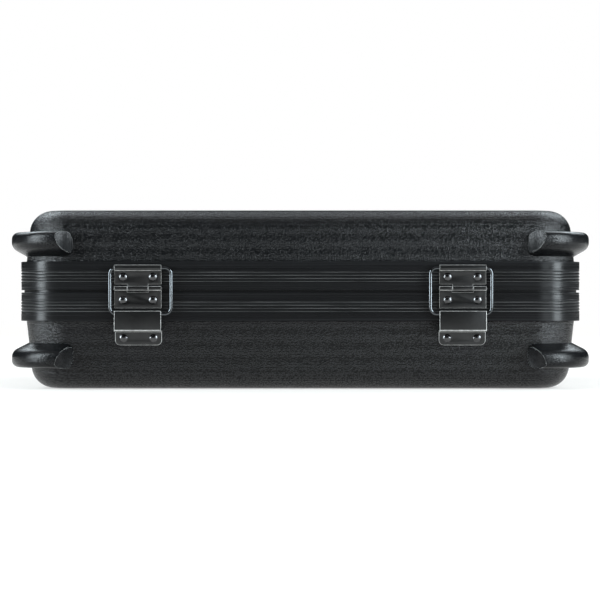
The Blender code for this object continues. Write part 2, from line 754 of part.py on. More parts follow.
def catch_spring(name, centre, hand, surface):
    """The coil that pushes the slider towards the hasp."""
    start = BUTTON_START + BUTTON_LENGTH + SLIDER_MARGIN + GAP + SPRING_WIRE
    end = CATCH_BOX_END - SHEET - GAP - SPRING_WIRE
    out = GAP + (CATCH_LIFT - SHEET - GAP) / 2
    count = SPRING_TURNS * SPRING_STEPS
    loops = []
    for i in range(count + 1):
        share = i / count
        angle = math.tau * SPRING_TURNS * share
        spoke = Vector((0, math.cos(angle), math.sin(angle)))
        x = centre + hand * (start + (end - start) * share)
        middle = at(FRONT, x, out, CATCH_HEIGHT_ABOVE_GROUND) + spoke * SPRING_RADIUS
        ring = []
        for j in range(SPRING_SIDES):
            turn = math.tau * j / SPRING_SIDES
            along = Vector((SPRING_WIRE * math.sin(turn), 0, 0))
            ring.append(middle + spoke * SPRING_WIRE * math.cos(turn) + along)
        loops.append(ring)
    bm = bmesh.new()
    loft(bm, loops)
    return finish(name, bm, surface)


def hasp_plate(name, x, surface, rivets, pivot):
    """The plate on the lid that carries the hasp between two knuckles."""
    top = (GAP + SHEET / 2, HASP_AXIS[1] + HASP_PLATE_LENGTH)
    line = [top] + knuckle_line(HASP_AXIS, KNUCKLE_RADIUS, 180, 180 + CURL_SWEEP)
    bm = bmesh.new()
    bent_sheet(bm, FRONT, strip(line, SHEET), x - HASP_PLATE_WIDTH / 2, x + HASP_PLATE_WIDTH / 2)
    made = finish(name, bm, surface, pivot)
    half = HASP_NECK / 2 + GAP
    low = HASP_AXIS[1] - 2 * KNUCKLE_RADIUS
    high = HASP_AXIS[1] + KNUCKLE_RADIUS + NOTCH_RELIEF

    def middle_cut(bm):
        notch(bm, FRONT, ((x - half, x + half),), low, high)

    boolean(made, name + "_notch", "DIFFERENCE", middle_cut)
    drill(made, rivets)
    return made


def hasp(name, x, surface, pivot):
    """The flap that hangs over the catch, with a lip to lift it by and a staple on its back."""
    neck = HASP_AXIS[0] + KNUCKLE_RADIUS - SHEET / 2
    face = CATCH_LIFT + GAP + SHEET / 2
    jog = HASP_AXIS[1] - HASP_JOG_DROP
    foot = CATCH_HEIGHT_ABOVE_GROUND - CATCH_HEIGHT / 2
    line = knuckle_line(HASP_AXIS, KNUCKLE_RADIUS, CURL_SWEEP - 30, 0)
    line += [(neck, jog), (face, jog - (face - neck)),
             (face, foot + HASP_LIP_DROP), (face + HASP_LIP, foot)]
    bm = bmesh.new()
    bent_sheet(bm, FRONT, strip(line, SHEET), x - HASP_WIDTH / 2, x + HASP_WIDTH / 2)
    made = finish(name, bm, surface, pivot)
    half, end = HASP_NECK / 2, HASP_WIDTH
    low = HASP_AXIS[1] - KNUCKLE_RADIUS - NOTCH_RELIEF / 2
    high = HASP_AXIS[1] + 2 * KNUCKLE_RADIUS
    z = CATCH_HEIGHT_ABOVE_GROUND
    inner = CATCH_LIFT + GAP

    def shoulders(bm):
        notch(bm, FRONT, ((x - end, x - half), (x + half, x + end)), low, high)

    def staple(bm):
        box(bm, at(FRONT, x - STAPLE_WIDTH / 2, inner - STAPLE_DEPTH, z - STAPLE_HEIGHT / 2),
            at(FRONT, x + STAPLE_WIDTH / 2, inner + SHEET / 2, z + STAPLE_HEIGHT / 2))

    def eye(bm):
        middle = staple_middle()
        box(bm, at(FRONT, x - STAPLE_WIDTH, middle - STAPLE_EYE / 2, z - STAPLE_EYE / 2),
            at(FRONT, x + STAPLE_WIDTH, middle + STAPLE_EYE / 2, z + STAPLE_EYE / 2))

    boolean(made, name + "_shoulders", "DIFFERENCE", shoulders)
    boolean(made, name + "_staple", "UNION", staple)
    boolean(made, name + "_eye", "DIFFERENCE", eye)
    return made


def handle(name, surface, pivot):
    """A D-shaped moulded handle hanging from its two eyes."""
    pin_out, pin_z = HANDLE_PIN
    grip_z = pin_z - HANDLE_DROP
    wall = -shell_inset(grip_z + GRIP_HEIGHT / 2)
    grip_out = wall + GRIP_CLEARANCE + GRIP_DEPTH / 2
    half_span = HANDLE_SPAN / 2
    eye = ARM_DEPTH / 2
    clear_z = pin_z - BRACKET_HEIGHT / 2
    stations = []
    for i in reversed(range(EYE_STEPS + 1)):
        turn = EYE_SWEEP * i / EYE_STEPS
        stations.append((half_span, pin_z + eye * math.sin(turn), 0, math.cos(turn), 0))
    stations.append((half_span, clear_z, 0, 1.0, 0))
    bend_x, bend_z = half_span - HANDLE_BEND, grip_z + HANDLE_BEND
    for i in range(HANDLE_BEND_STEPS + 1):
        share = i / HANDLE_BEND_STEPS
        angle = math.pi / 2 * share
        place = (bend_x + HANDLE_BEND * math.cos(angle), bend_z - HANDLE_BEND * math.sin(angle))
        stations.append((*place, angle, 1.0, share))
    mirrored = [(-x, z, math.pi - angle, swell, share) for x, z, angle, swell, share in stations[::-1]]
    loops = []
    for x, z, angle, swell, share in stations + mirrored:
        outward = Vector((math.cos(angle), 0, -math.sin(angle)))
        half_width = (ARM_WIDTH + (GRIP_HEIGHT - ARM_WIDTH) * share) / 2
        half_depth = (ARM_DEPTH + (GRIP_DEPTH - ARM_DEPTH) * share) / 2 * swell
        sunk = min(max((clear_z - z) / (clear_z - grip_z), 0), 1)
        out = pin_out + (grip_out - pin_out) * sunk
        ring = []
        for j in range(HANDLE_SIDES):
            turn = math.tau * (j + 0.5) / HANDLE_SIDES
            ring.append(at(FRONT, x, out, z) + outward * half_width * math.cos(turn)
                        + Vector((0, half_depth * math.sin(turn), 0)))
        loops.append(ring)
    bm = bmesh.new()
    loft(bm, loops)
    made = finish(name, bm, surface, pivot)

    def eyes(bm):
        for share in (-1, 1):
            start = at(FRONT, share * half_span - ARM_WIDTH, pin_out, pin_z)
            bore = HANDLE_PIN_RADIUS + GAP
            profile = [(0, 0), (bore, 0), (bore, 2 * ARM_WIDTH), (0, 2 * ARM_WIDTH)]
            turned(bm, profile, start, Vector((1, 0, 0)), RIVET_SIDES)

    boolean(made, name + "_eyes", "DIFFERENCE", eyes)
    return made


def bracket_reach():
    """Half the inner and half the outer distance between a bracket's ears."""
    inner = ARM_WIDTH / 2 + GAP
    return inner, inner + BRACKET_THICKNESS


def bracket_rivet_spacing():
    """Distance between a bracket's two rivets, whose heads clear the ears."""
    return 2 * (bracket_reach()[1] + 2 * GAP + RIVET_HEAD_RADIUS)


def handle_bracket(name, x, surface, rivets):
    """A riveted plate with two ears for the handle's pin."""
    pin_out, pin_z = HANDLE_PIN
    half_width = bracket_rivet_spacing() / 2 + BRACKET_RIVET_EDGE
    bm = bmesh.new()
    box(bm, at(FRONT, x - half_width, GAP, pin_z - BRACKET_HEIGHT / 2),
        at(FRONT, x + half_width, GAP + BRACKET_THICKNESS, pin_z + BRACKET_HEIGHT / 2))
    made = finish(name, bm, surface)
    inner, outer = bracket_reach()
    tip = arc(HANDLE_PIN, EAR_RADIUS, -90, 90, ROUND_STEPS)
    root = GAP + BRACKET_THICKNESS / 2
    outline = [(root, pin_z - EAR_RADIUS)] + tip + [(root, pin_z + EAR_RADIUS)]

    def ears(bm):
        for start, end in ((x - outer, x - inner), (x + inner, x + outer)):
            bent_sheet(bm, FRONT, outline, start, end)

    def pin_holes(bm):
        bore = HANDLE_PIN_RADIUS + GAP
        start = at(FRONT, x - 2 * outer, pin_out, pin_z)
        profile = [(0, 0), (bore, 0), (bore, 4 * outer), (0, 4 * outer)]
        turned(bm, profile, start, Vector((1, 0, 0)), RIVET_SIDES)

    boolean(made, name + "_ears", "UNION", ears)
    boolean(made, name + "_pin_holes", "DIFFERENCE", pin_holes)
    drill(made, rivets)
    return made


def handle_pin(name, x, surface):
    """A headed pin that one end of the handle swings on."""
    bm = bmesh.new()
    outer = bracket_reach()[1] + GAP
    headed_pin(bm, at(FRONT, x - outer, *HANDLE_PIN), 2 * outer, HANDLE_PIN_RADIUS, HANDLE_PIN_HEAD)
    finish(name, bm, surface)


def foam_levels(bottom, upward):
    """(inset, height) points of foam that follows a shell's inner face with a gap, from the closed end."""
    side = 1 if upward else -1
    outer_plane = CASE_HEIGHT if upward else 0.0
    centre_z = outer_plane - side * EDGE_RADIUS
    tangent_z = centre_z + side * EDGE_RADIUS * math.sin(DRAFT)
    centre_inset = shell_inset(tangent_z) + EDGE_RADIUS * math.cos(DRAFT)
    radius = EDGE_RADIUS - WALL - GAP
    turn = arc((centre_inset + FOAM_SIDE_GAP, 0), radius, 90, 180 - math.degrees(DRAFT), EDGE_STEPS)
    levels = [(inset, centre_z + side * rise) for inset, rise in turn]
    slope = math.tan(DRAFT) * abs(bottom - levels[-1][1])
    return levels, levels[-1][0] - slope


def base_foam(name, surface):
    """The foam block in the base with the pocket that holds the processor."""
    top = BASE_TOP - FOAM_TOP_DROP
    levels, inset = foam_levels(BASE_BAND_EDGE, False)
    levels = levels + [(inset, BASE_BAND_EDGE), (inset, top)]
    bm = bmesh.new()
    loft(bm, [[(x, y, z) for x, y in plan(step)] for step, z in levels])
    made = finish(name, bm, surface)
    floor = WALL + GAP + POCKET_FLOOR

    def pocket(bm):
        outline = []
        for cx, cy, start in ((1, 1, 0), (-1, 1, 90), (-1, -1, 180), (1, -1, 270)):
            centre = (cx * (POCKET_WIDTH / 2 - POCKET_RADIUS), cy * (POCKET_DEPTH / 2 - POCKET_RADIUS))
            turn = arc(centre, POCKET_RADIUS, start, start + 90, POCKET_STEPS)
            outline += [(x, y, floor) for x, y in turn]
        prism(bm, outline, Vector((0, 0, 2 * (top - floor))))

    boolean(made, name + "_pocket", "DIFFERENCE", pocket)
    return made


def lid_foam(name, surface, pivot):
    """The foam pad in the lid."""
    face = CASE_HEIGHT - WALL - GAP - LID_FOAM_THICKNESS
    levels, inset = foam_levels(face, True)
    levels = levels + [(inset, face)]
    bm = bmesh.new()
    loft(bm, [[(x, y, z) for x, y in plan(step)] for step, z in levels])
    return finish(name, bm, surface, pivot)


def build():
    """Makes every piece of the case."""
    shell_plastic = material("moulded_plastic", (0.018, 0.018, 0.019), 0.55, 0.0)
    anodised = material("anodised_aluminium", (0.022, 0.022, 0.024), 0.35, 0.6)
    plated = material("black_steel", (0.020, 0.020, 0.022), 0.38, 0.5)
    wire = material("stay_wire", (0.045, 0.048, 0.052), 0.30, 0.9)
    bright = material("bright_steel", (0.55, 0.55, 0.56), 0.30, 1.0)
    rivet_steel = material("rivet_steel", (0.030, 0.030, 0.032), 0.22, 0.7)
    grip_plastic = material("grip_plastic", (0.022, 0.022, 0.022), 0.48, 0.0)
    foam = material("grey_foam", (0.050, 0.050, 0.054), 0.95, 0.0)

    lid = joint_pivot("lid_pivot", at(BACK, 0, *HINGE_AXIS))
    base_shell = shell("base_shell", shell_plastic, False)
    lid_shell = shell("lid_shell", shell_plastic, True, lid)
    base_valance = valance("base_valance", anodised, False)
    lid_valance = valance("lid_valance", anodised, True, lid)
    base_foam("base_foam_tray", foam)
    lid_foam("lid_foam_pad", foam, lid)

    leaf_out = GAP + SHEET
    sheet_grip = leaf_out + INNER_FACE
    keeper_depth = KEEPER_SHEET + GAP + WALL + GAP
    base_holes, lid_holes, keeper_holes = [], [], []
    for word, hand in SIDES.items():
        x = hand * HINGE_OFFSET
        upper = pair(BACK, x, HINGE_RIVET_SPACING, leaf_out, HINGE_AXIS[1] + LID_LEAF_RIVET_RISE)
        lower = pair(BACK, x, HINGE_RIVET_SPACING, leaf_out, HINGE_AXIS[1] - BASE_LEAF_RIVET_DROP)
        held = keeper_rivets(x)
        lid_leaf("hinge_lid_leaf_" + word, x, plated, upper, lid)
        base_leaf("hinge_base_leaf_" + word, x, plated, lower)
        hinge_pin("hinge_pin_" + word, BACK, HINGE_AXIS, x, HINGE_WIDTH, bright)
        keeper("stay_keeper_" + word, x, plated, held)
        strap("keeper_strap_" + word, bright, held, keeper_depth)
        loop_x = x + STAY_SHIFT[word]
        stay = joint_pivot("stay_pivot_" + word, at(BACK, loop_x, *STAY_PIVOT), lid)
        stay_loop("stay_loop_" + word, loop_x, wire, stay)
        set_rivets("lid_leaf_rivet_" + word, rivet_steel, upper, sheet_grip, lid)
        set_rivets("base_leaf_rivet_" + word, rivet_steel, lower, sheet_grip)
        set_rivets("keeper_rivet_" + word, rivet_steel, held, keeper_depth + STRAP_THICKNESS)

        centre = hand * CATCH_OFFSET
        ears = catch_rivets(centre, hand)
        plate = pair(FRONT, centre, HASP_RIVET_SPACING, leaf_out, HASP_AXIS[1] + HASP_RIVET_RISE)
        catch_body("catch_body_" + word, centre, hand, plated, ears)
        catch_spring("catch_spring_" + word, centre, hand, bright)
        button_place = at(FRONT, centre + hand * BUTTON_START, CATCH_LIFT, CATCH_HEIGHT_ABOVE_GROUND)
        button = joint_pivot("button_slide_" + word, button_place)
        catch_button("catch_button_" + word, centre, hand, plated, button)
        hasp_plate("hasp_plate_" + word, centre, plated, plate, lid)
        hinge_pin("hasp_pin_" + word, FRONT, HASP_AXIS, centre, HASP_PLATE_WIDTH, bright, lid)
        hasp_pivot = joint_pivot("hasp_pivot_" + word, at(FRONT, centre, *HASP_AXIS), lid)
        hasp("hasp_" + word, centre, plated, hasp_pivot)
        set_rivets("catch_rivet_" + word, rivet_steel, ears, sheet_grip)
        set_rivets("hasp_plate_rivet_" + word, rivet_steel, plate, sheet_grip, lid)

        bracket_x = hand * HANDLE_SPAN / 2
        bracket_out = GAP + BRACKET_THICKNESS
        bracket = pair(FRONT, bracket_x, bracket_rivet_spacing(), bracket_out, HANDLE_PIN[1])
        handle_bracket("handle_bracket_" + word, bracket_x, plated, bracket)
        handle_pin("handle_pin_" + word, bracket_x, bright)
        set_rivets("bracket_rivet_" + word, rivet_steel, bracket, bracket_out + INNER_FACE)

        base_holes += lower + ears + bracket
        keeper_holes += held
        lid_holes += upper + plate

    handle("handle", grip_plastic, joint_pivot("handle_pivot", at(FRONT, 0, *HANDLE_PIN)))
    drill(base_shell, base_holes + keeper_holes)
    drill(base_valance, base_holes)
    drill(lid_shell, lid_holes)
    drill(lid_valance, lid_holes)


for old in list(bpy.data.objects):
    bpy.data.objects.remove(old)
build()
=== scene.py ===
"""Finished look of a moulded hard case for an effects processor, built round its fixed frame.

Metres, +Z up, hinge side towards -Y, origin on the ground under the middle of the closed case.
Each operator makes one piece or a group of like pieces, and the panel lists them in order.
"""

import json
import math

import bmesh
import bpy
from bpy.props import FloatProperty, FloatVectorProperty, IntProperty, PointerProperty
from mathutils import Matrix, Vector


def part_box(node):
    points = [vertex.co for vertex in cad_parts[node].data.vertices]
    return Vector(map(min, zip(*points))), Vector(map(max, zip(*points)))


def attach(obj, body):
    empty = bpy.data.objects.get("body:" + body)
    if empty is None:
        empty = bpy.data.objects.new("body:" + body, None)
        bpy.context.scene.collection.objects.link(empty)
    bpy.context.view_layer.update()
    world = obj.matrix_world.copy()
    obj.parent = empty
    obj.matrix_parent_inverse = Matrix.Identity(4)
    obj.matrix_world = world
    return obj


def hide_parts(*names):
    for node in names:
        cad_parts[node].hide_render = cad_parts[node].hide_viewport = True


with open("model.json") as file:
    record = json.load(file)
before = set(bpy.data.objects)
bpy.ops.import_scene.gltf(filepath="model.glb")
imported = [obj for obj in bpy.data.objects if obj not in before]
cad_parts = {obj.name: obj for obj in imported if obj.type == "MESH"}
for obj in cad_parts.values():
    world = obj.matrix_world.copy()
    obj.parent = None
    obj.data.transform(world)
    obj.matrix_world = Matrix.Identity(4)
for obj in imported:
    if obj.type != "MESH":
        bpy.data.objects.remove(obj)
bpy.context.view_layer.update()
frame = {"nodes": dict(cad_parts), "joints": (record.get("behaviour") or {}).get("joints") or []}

bl_info = {
    "name": "Effects Processor Case",
    "version": (1, 0, 0),
    "blender": (4, 5, 0),
    "location": "View3D > Sidebar > Case",
    "description": "Models the shells, valances, hardware and foam of a moulded hard case",
    "category": "Add Mesh",
}

# The case's planes, read from the frame
BASE_BAND_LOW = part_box("base_valance")[0]
LID_BAND_LOW, LID_BAND_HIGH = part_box("lid_valance")
HALF_WIDTH = LID_BAND_HIGH.x
HALF_DEPTH = LID_BAND_HIGH.y
LID_BOTTOM = LID_BAND_LOW.z
LID_BAND_EDGE = LID_BAND_HIGH.z
BAND_HEIGHT = LID_BAND_EDGE - LID_BOTTOM
BASE_BAND_EDGE = BASE_BAND_LOW.z
BASE_TOP = BASE_BAND_EDGE + BAND_HEIGHT
PARTING_GAP = LID_BOTTOM - BASE_TOP
CASE_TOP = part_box("lid_shell")[1].z

# Clearance between faces that touch on the real case, and the reach within which points are merged
GAP = 0.0003
MERGE = 0.00001
# Signs of the case's sides, faces round a pressed corner, and the angle up to which edges look soft
BACK = -1
FRONT = 1
SIDES = {"left": -1, "right": 1}
CORNER_SEGMENTS = 8
SMOOTH_ANGLE = math.radians(32)


def length(label, default, about):
    """A size in metres that a user may change."""
    return FloatProperty(name=label, description=about, default=default, min=0.0,
                         precision=5, subtype="DISTANCE", unit="LENGTH")


def turn(label, default, about):
    """An angle, given in degrees here and kept in radians."""
    return FloatProperty(name=label, description=about, default=math.radians(default), subtype="ANGLE",
                         unit="ROTATION")


def count(label, default, about):
    """A number of like things."""
    return IntProperty(name=label, description=about, default=default, min=1)


def share(label, default, about):
    """A plain factor."""
    return FloatProperty(name=label, description=about, default=default, min=0.0)


def colour(label, default, about):
    """A colour in linear light."""
    return FloatVectorProperty(name=label, description=about, default=default, subtype="COLOR",
                               min=0.0, max=1.0)


class ShellSizes(bpy.types.PropertyGroup):
    """Sizes of the two moulded shells."""

    corner_radius: length("Corner radius", 0.045, "Round of the valance's corners in plan")
    inset: length("Inset", 0.0048, "How far the shell stands in from the valance's face")
    wall: length("Wall", 0.004, "Thickness of the moulded wall")
    edge_radius: length("Edge radius", 0.020, "Round between a shell's sides and its flat face")
    draft: turn("Draft", 6, "Lean of the shell's sides")
    corner_steps: count("Corner steps", 24, "Faces round one corner of the plan")
    edge_steps: count("Edge steps", 10, "Faces round the edge between sides and flat face")
    grain_pitch: length("Grain pitch", 0.00130, "Distance from pebble to pebble of the moulded grain")
    grain_height: length("Grain height", 0.00026, "Height of the pebbles")


class FinSizes(bpy.types.PropertyGroup):
    """Sizes of the bumper fins moulded round the corners."""

    proud: length("Proud", 0.0084, "How far a fin stands out past the valance")
    height: length("Height", 0.0217, "Height of a fin where it meets the wall")
    slant: length("Slant", 0.0078, "Rise of the slanted face next to the valance")
    nose: length("Nose", 0.006, "Round between a fin's outer face and its far side")
    heel: length("Heel", 0.0088, "Round between a fin's outer face and its slanted face")
    ridge_near: turn("Near ridge", 3, "Where the outer face ends next to the valance")
    ridge_far: turn("Far ridge", 12, "Where the outer face ends on the far side")
    ridge_round: length("Ridge round", 0.00075, "Rubbed round of the fins' ridges")
    reach: length("Reach", 0.005, "How far a fin's end runs past the corner's round")
    end_round: length("End round", 0.0065, "Round of a fin's end, seen from the side")
    end_height: share("End height", 0.42, "Height of the very end, as a share of the fin's")
    end_step: length("End step", 0.0007, "Height of the step round a fin's end")
    sunk: length("Sunk", 0.0014, "How far a fin's root is sunk into the wall")
    grain_pitch: length("Grain pitch", 0.0012, "Distance from pebble to pebble of the fins' finer grain")
    grain_height: length("Grain height", 0.00008, "Height of the fins' pebbles")
    lid_rise: length("Lid fin rise", 0.0308, "From the parting line up to a lid fin")
    base_drop: length("Base fin drop", 0.0458, "From the parting line down to a base fin")


class ValanceSizes(bpy.types.PropertyGroup):
    """Sizes of the ribbed aluminium valances."""

    flange: length("Flange", 0.002, "Thickness of the ribbed outer flange")
    web: length("Web", 0.003, "Thickness of the web between the flanges")
    lip: length("Lip", 0.002, "Thickness of the lip over the shell")
    inner_flange: length("Inner flange", 0.0015, "Thickness of the inner flange")
    inner_height: length("Inner height", 0.016, "Height of the inner flange")
    edge: length("Edge", 0.0003, "Small round of the band's edges")
    groove_count: count("Grooves", 4, "Grooves in each valance")
    groove_pitch: length("Groove pitch", 0.0027, "Distance from groove to groove")
    groove_start: length("First groove", 0.0080, "First groove's distance from the parting line")
    groove_depth: length("Groove depth", 0.0006, "Depth of a groove")
    groove_width: length("Groove width", 0.0013, "Width of a groove")
    knee_depth: share("Knee depth", 0.86, "Depth at which a groove's flanks turn, as a share of its depth")
    knee_width: share("Knee width", 0.42, "Width between those turns, as a share of the groove's width")
    band_margin: share("Band margin", 0.62, "From an outer groove to its band's end, in groove pitches")
    band_step: length("Band step", 0.00018, "Step down from the grooved band to the lines beside it")
    far_line: length("Far line", 0.0009, "Width of the sunk line past the last groove")
    near_line: share("Near line", 0.55, "Height of the line by the parting face, as a share of the web")
    tongue_inset: length("Tongue inset", 0.0028, "Distance from the outer face to the tongue")
    tongue_width: length("Tongue width", 0.0043, "Width of the tongue between the valances")
    tongue_tip: length("Tongue tip", 0.0012, "How far the tongue reaches into the lid's groove")
    tongue_play: length("Tongue play", 0.0004, "Clearance beside the tongue")


class HardwareSizes(bpy.types.PropertyGroup):
    """Sizes of the pressed steel hinges and catches and of their rivets."""

    sheet: length("Sheet", 0.00105, "Thickness of the leaves and covers")
    edge_round: length("Edge round", 0.00040, "Round left on cut edges by tumbling")
    knuckle_radius: length("Knuckle radius", 0.00225, "Outer radius of a rolled knuckle")
    curl_sweep: turn("Curl sweep", 290, "How far round a knuckle is rolled")
    curl_steps: count("Curl steps", 26, "Faces round a knuckle")
    middle_knuckle: length("Middle knuckle", 0.018, "Width of the lid leaf's knuckle")
    notch_relief: length("Notch relief", 0.0015, "Height of the slot beside a knuckle")
    wire_radius: length("Wire radius", 0.0015, "Radius of the stay's wire")
    wire_bend: length("Wire bend", 0.0055, "Radius of the stay's corners")
    stay_width: length("Stay width", 0.0535, "Width of the stay between the middles of its legs")
    keeper_sheet: length("Keeper sheet", 0.0012, "Thickness of the keeper plate")
    keeper_lift: length("Keeper lift", 0.0057, "Height of the keeper's tongue over the valance")
    keeper_tongue: length("Keeper tongue", 0.0170, "Length of the keeper's raised tongue")
    keeper_corner: length("Keeper corner", 0.0045, "Round of the keeper's lower corners")
    keeper_bend: length("Keeper bend", 0.0011, "Middle radius of the keeper's two bends")
    rivet_radius: length("Rivet radius", 0.0037, "Radius of a rivet's head")
    rivet_height: length("Rivet height", 0.0020, "Height of a rivet's domed head")
    rivet_shank: length("Rivet shank", 0.0020, "Radius of a rivet's shank")
    rivet_tail: length("Rivet tail", 0.0030, "Radius of a rivet's set tail")
    rivet_tail_height: length("Rivet tail height", 0.0010, "Height of a rivet's set tail")
    rivet_edge: length("Rivet edge", 0.00035, "Height of the upright edge of a rivet's head")
    pin_head: length("Pin head", 0.0016, "Radius of a hinge pin's head")
    pin_head_length: length("Pin head length", 0.0008, "Height of a pin's head")


class CatchSizes(bpy.types.PropertyGroup):
    """Sizes of the spring catches on the front."""

    ear: length("Ear", 0.009, "Width of a cover's riveted ear")
    edge_round: length("Edge round", 0.00032, "Round left on the catches' cut edges")
    soft_edge: length("Soft edge", 0.0005, "Round of the staple's and the knob's edges")
    cover_round: length("Cover round", 0.0011, "Round of the cover's raised edges")
    ear_corner: length("Ear corner", 0.0035, "Round of the ears' corners")
    hasp_neck: length("Hasp neck", 0.010, "Width of the hasp's knuckle")
    hasp_curl: turn("Hasp curl", 260, "How far round the hasp's knuckle is rolled")
    hasp_bend: length("Hasp bend", 0.0016, "Middle radius of the hasp's bends")
    hasp_jog: length("Hasp jog", 0.0050, "Drop from the hasp's pin to its step")
    hasp_lip: length("Hasp lip", 0.0008, "How far the hasp's lip turns out")
    hasp_lip_drop: length("Hasp lip drop", 0.0022, "Height of the hasp's lip")
    staple_width: length("Staple width", 0.008, "Width of the staple on the hasp's back")
    staple_height: length("Staple height", 0.0036, "Height of the staple")
    staple_depth: length("Staple depth", 0.0030, "How far the staple reaches in")
    staple_eye: length("Staple eye", 0.0018, "Opening through the staple")
    staple_play: length("Staple play", 0.0012, "Room over the staple in the cover's slot")
    hasp_corner: length("Hasp corner", 0.0030, "Round of the hasp's lower corners")
    button_start: length("Button start", 0.013, "From the hasp's middle to the button")
    button_length: length("Button length", 0.007, "Length of the button")
    button_height: length("Button height", 0.006, "Height of the button")
    button_travel: length("Button travel", 0.0045, "How far the button slides")
    button_rib: length("Button rib", 0.0007, "Width of a grip rib on the button")
    slider: length("Slider", 0.0010, "Thickness of the slider under the cover")
    slider_margin: length("Slider margin", 0.0015, "How far the slider reaches past the button")
    bolt: length("Bolt", 0.0012, "Thickness of the slider's bolt")
    bolt_round: length("Bolt round", 0.0002, "Round of the bolt's and the slider's edges")


class HandleSizes(bpy.types.PropertyGroup):
    """Sizes of the moulded carrying handle and its brackets."""

    span: length("Span", 0.124, "Distance between the handle's two eyes")
    drop: length("Drop", 0.036, "From the pins down to the middle of the grip")
    bend: length("Bend", 0.012, "Middle radius of the handle's corners")
    grip_height: length("Grip height", 0.014, "Height of the grip's section")
    grip_depth: length("Grip depth", 0.0125, "Depth of the grip's section")
    grip_clearance: length("Grip clearance", 0.0006, "Gap between the grip and the shell")
    grip_round: share("Grip round", 0.44, "Round of the grip's section, as a share of its smaller side")
    arm_width: length("Arm width", 0.007, "Width of the arms")
    arm_depth: length("Arm depth", 0.0056, "Depth of the arms")
    eye_round: length("Eye round", 0.0006, "Round of the edges of the handle's eyes")
    pin_radius: length("Pin radius", 0.0014, "Radius of the handle's pins")
    pin_head: length("Pin head", 0.0021, "Radius of a handle pin's heads")
    plate: length("Plate", 0.0015, "Thickness of a bracket's plate and ears")
    plate_height: length("Plate height", 0.021, "Height of a bracket's plate")
    plate_corner: length("Plate corner", 0.0032, "Round of a bracket's corners")
    ear_radius: length("Ear radius", 0.0029, "Round of a bracket's ears")


class FoamSizes(bpy.types.PropertyGroup):
    """Sizes of the foam lining."""

    side_gap: length("Side gap", 0.0034, "Gap between the foam and the shell's wall")
    pocket_width: length("Pocket width", 0.425, "Width of the processor's pocket")
    pocket_depth: length("Pocket depth", 0.282, "Depth of the pocket from front to back")
    pocket_radius: length("Pocket radius", 0.012, "Round of the pocket's corners")
    pocket_floor: length("Pocket floor", 0.016, "Thickness of the foam under the processor")
    top_drop: length("Top drop", 0.007, "From the base's rim down to the foam")
    soft_edge: length("Soft edge", 0.0022, "Round of the foam's cut edges")
    lid_thickness: length("Lid foam", 0.028, "Thickness of the lid's foam over its peaks")
    peak_height: length("Peak height", 0.011, "Height of the lid foam's peaks over its hollows")
    peak_pitch: length("Peak pitch", 0.030, "Distance from peak to peak")
    cell: length("Cell", 0.0016, "Size of the larger cells in the foam's cut faces")


class Colours(bpy.types.PropertyGroup):
    """Colours of the finishes, in linear light."""

    plastic: colour("Plastic", (0.0050, 0.0054, 0.0059), "Moulded shells")
    anodising: colour("Anodising", (0.0042, 0.0044, 0.0048), "Valances")
    # Painted highlight on the upward lower lips of the valances' grooves
    rubbed: colour("Painted groove highlight", (0.075, 0.076, 0.074), "Lips of the valances' grooves")
    plating: colour("Plating", (0.045, 0.0455, 0.046), "Hinges and catches")
    # The worn edges' colour is also a painted highlight along the hardware's edges, knuckles, curls and
    # bends
    edge: colour("Worn and highlit edge", (0.360, 0.360, 0.352), "Rounded edges of the plated steel")
    wire: colour("Wire", (0.085, 0.092, 0.098), "Stay loops")
    rivet: colour("Rivet", (0.085, 0.085, 0.087), "Rivet heads")
    # The scuffed colour is also a painted highlight along the fins' ridges
    scuff: colour("Scuffed and highlit plastic", (0.330, 0.332, 0.330), "Sharp ridges of the bumper fins")
    zinc: colour("Zinc", (0.52, 0.52, 0.53), "Pins, straps and springs")
    grip: colour("Grip", (0.015, 0.015, 0.0155), "Carrying handle")
    foam: colour("Foam", (0.036, 0.037, 0.040), "Foam lining")
    lamp: colour("Lamps", (0.86, 0.95, 1.0), "Cool light of the soft boxes")
    floor: colour("Floor", (0.88, 0.85, 0.81), "Floor")


class StageSizes(bpy.types.PropertyGroup):
    """Camera, lamps and floor."""

    lens: FloatProperty(name="Lens", description="Focal length in millimetres", default=120.0)
    sensor: FloatProperty(name="Sensor", description="Sensor's width in millimetres", default=36.0)
    near_clip: length("Near clip", 0.05, "Nearest distance that the camera shows")
    distance: length("Distance", 1.75, "From the camera to the valance's back face")
    aim_x: FloatProperty(name="Aim across", description="Camera's place across", default=-0.0003,
                         subtype="DISTANCE", unit="LENGTH", precision=5)
    aim_z: length("Aim height", 0.0784, "Camera's height")
    side_light: share("Side lamps", 24.0, "Brightness of each tall soft box's face")
    near_light: share("Near right lamp", 4.2, "Brightness of the dim lamp beside the camera")
    top_light: share("Top lamp", 2.4, "Brightness of the overhead soft box's face")
    fill_light: share("Fill lamps", 6.5, "Brightness of the soft boxes on the catch side")
    sky: share("Sky", 0.30, "Brightness of the surroundings as a light")
    ceiling: share("Ceiling", 0.40, "Brightness of the surroundings overhead, where the case mirrors them")
    ceiling_start: share("Ceiling start", 0.60, "Rise of a view, up to 1, from which they get darker")
    ceiling_end: share("Ceiling end", 0.90, "Rise of a view from which they are as dark as the ceiling")
    cloth_radius: length("Cloth radius", 2.4, "Radius of the black cloth hung round the set")
    cloth_height: length("Cloth height", 2.9, "Height of the black cloth")
    floor_size: length("Floor size", 9.0, "Width of the floor")
    floor_drop: length("Floor drop", 0.0004, "How far the floor is under the case's flat bottom")
    whitening: share("Whitening", 0.5, "Share of the floor's seen colour that is plain white")
    near_white: share("Near white", 0.95, "Brightness of that share under the case")
    far_white: share("Far white", 1.75, "Brightness of that share past the lamps' light")
    near_reach: length("Near reach", 0.4, "Distance from the case's middle up to which near white holds")
    far_reach: length("Far reach", 2.2, "Distance from which far white holds")


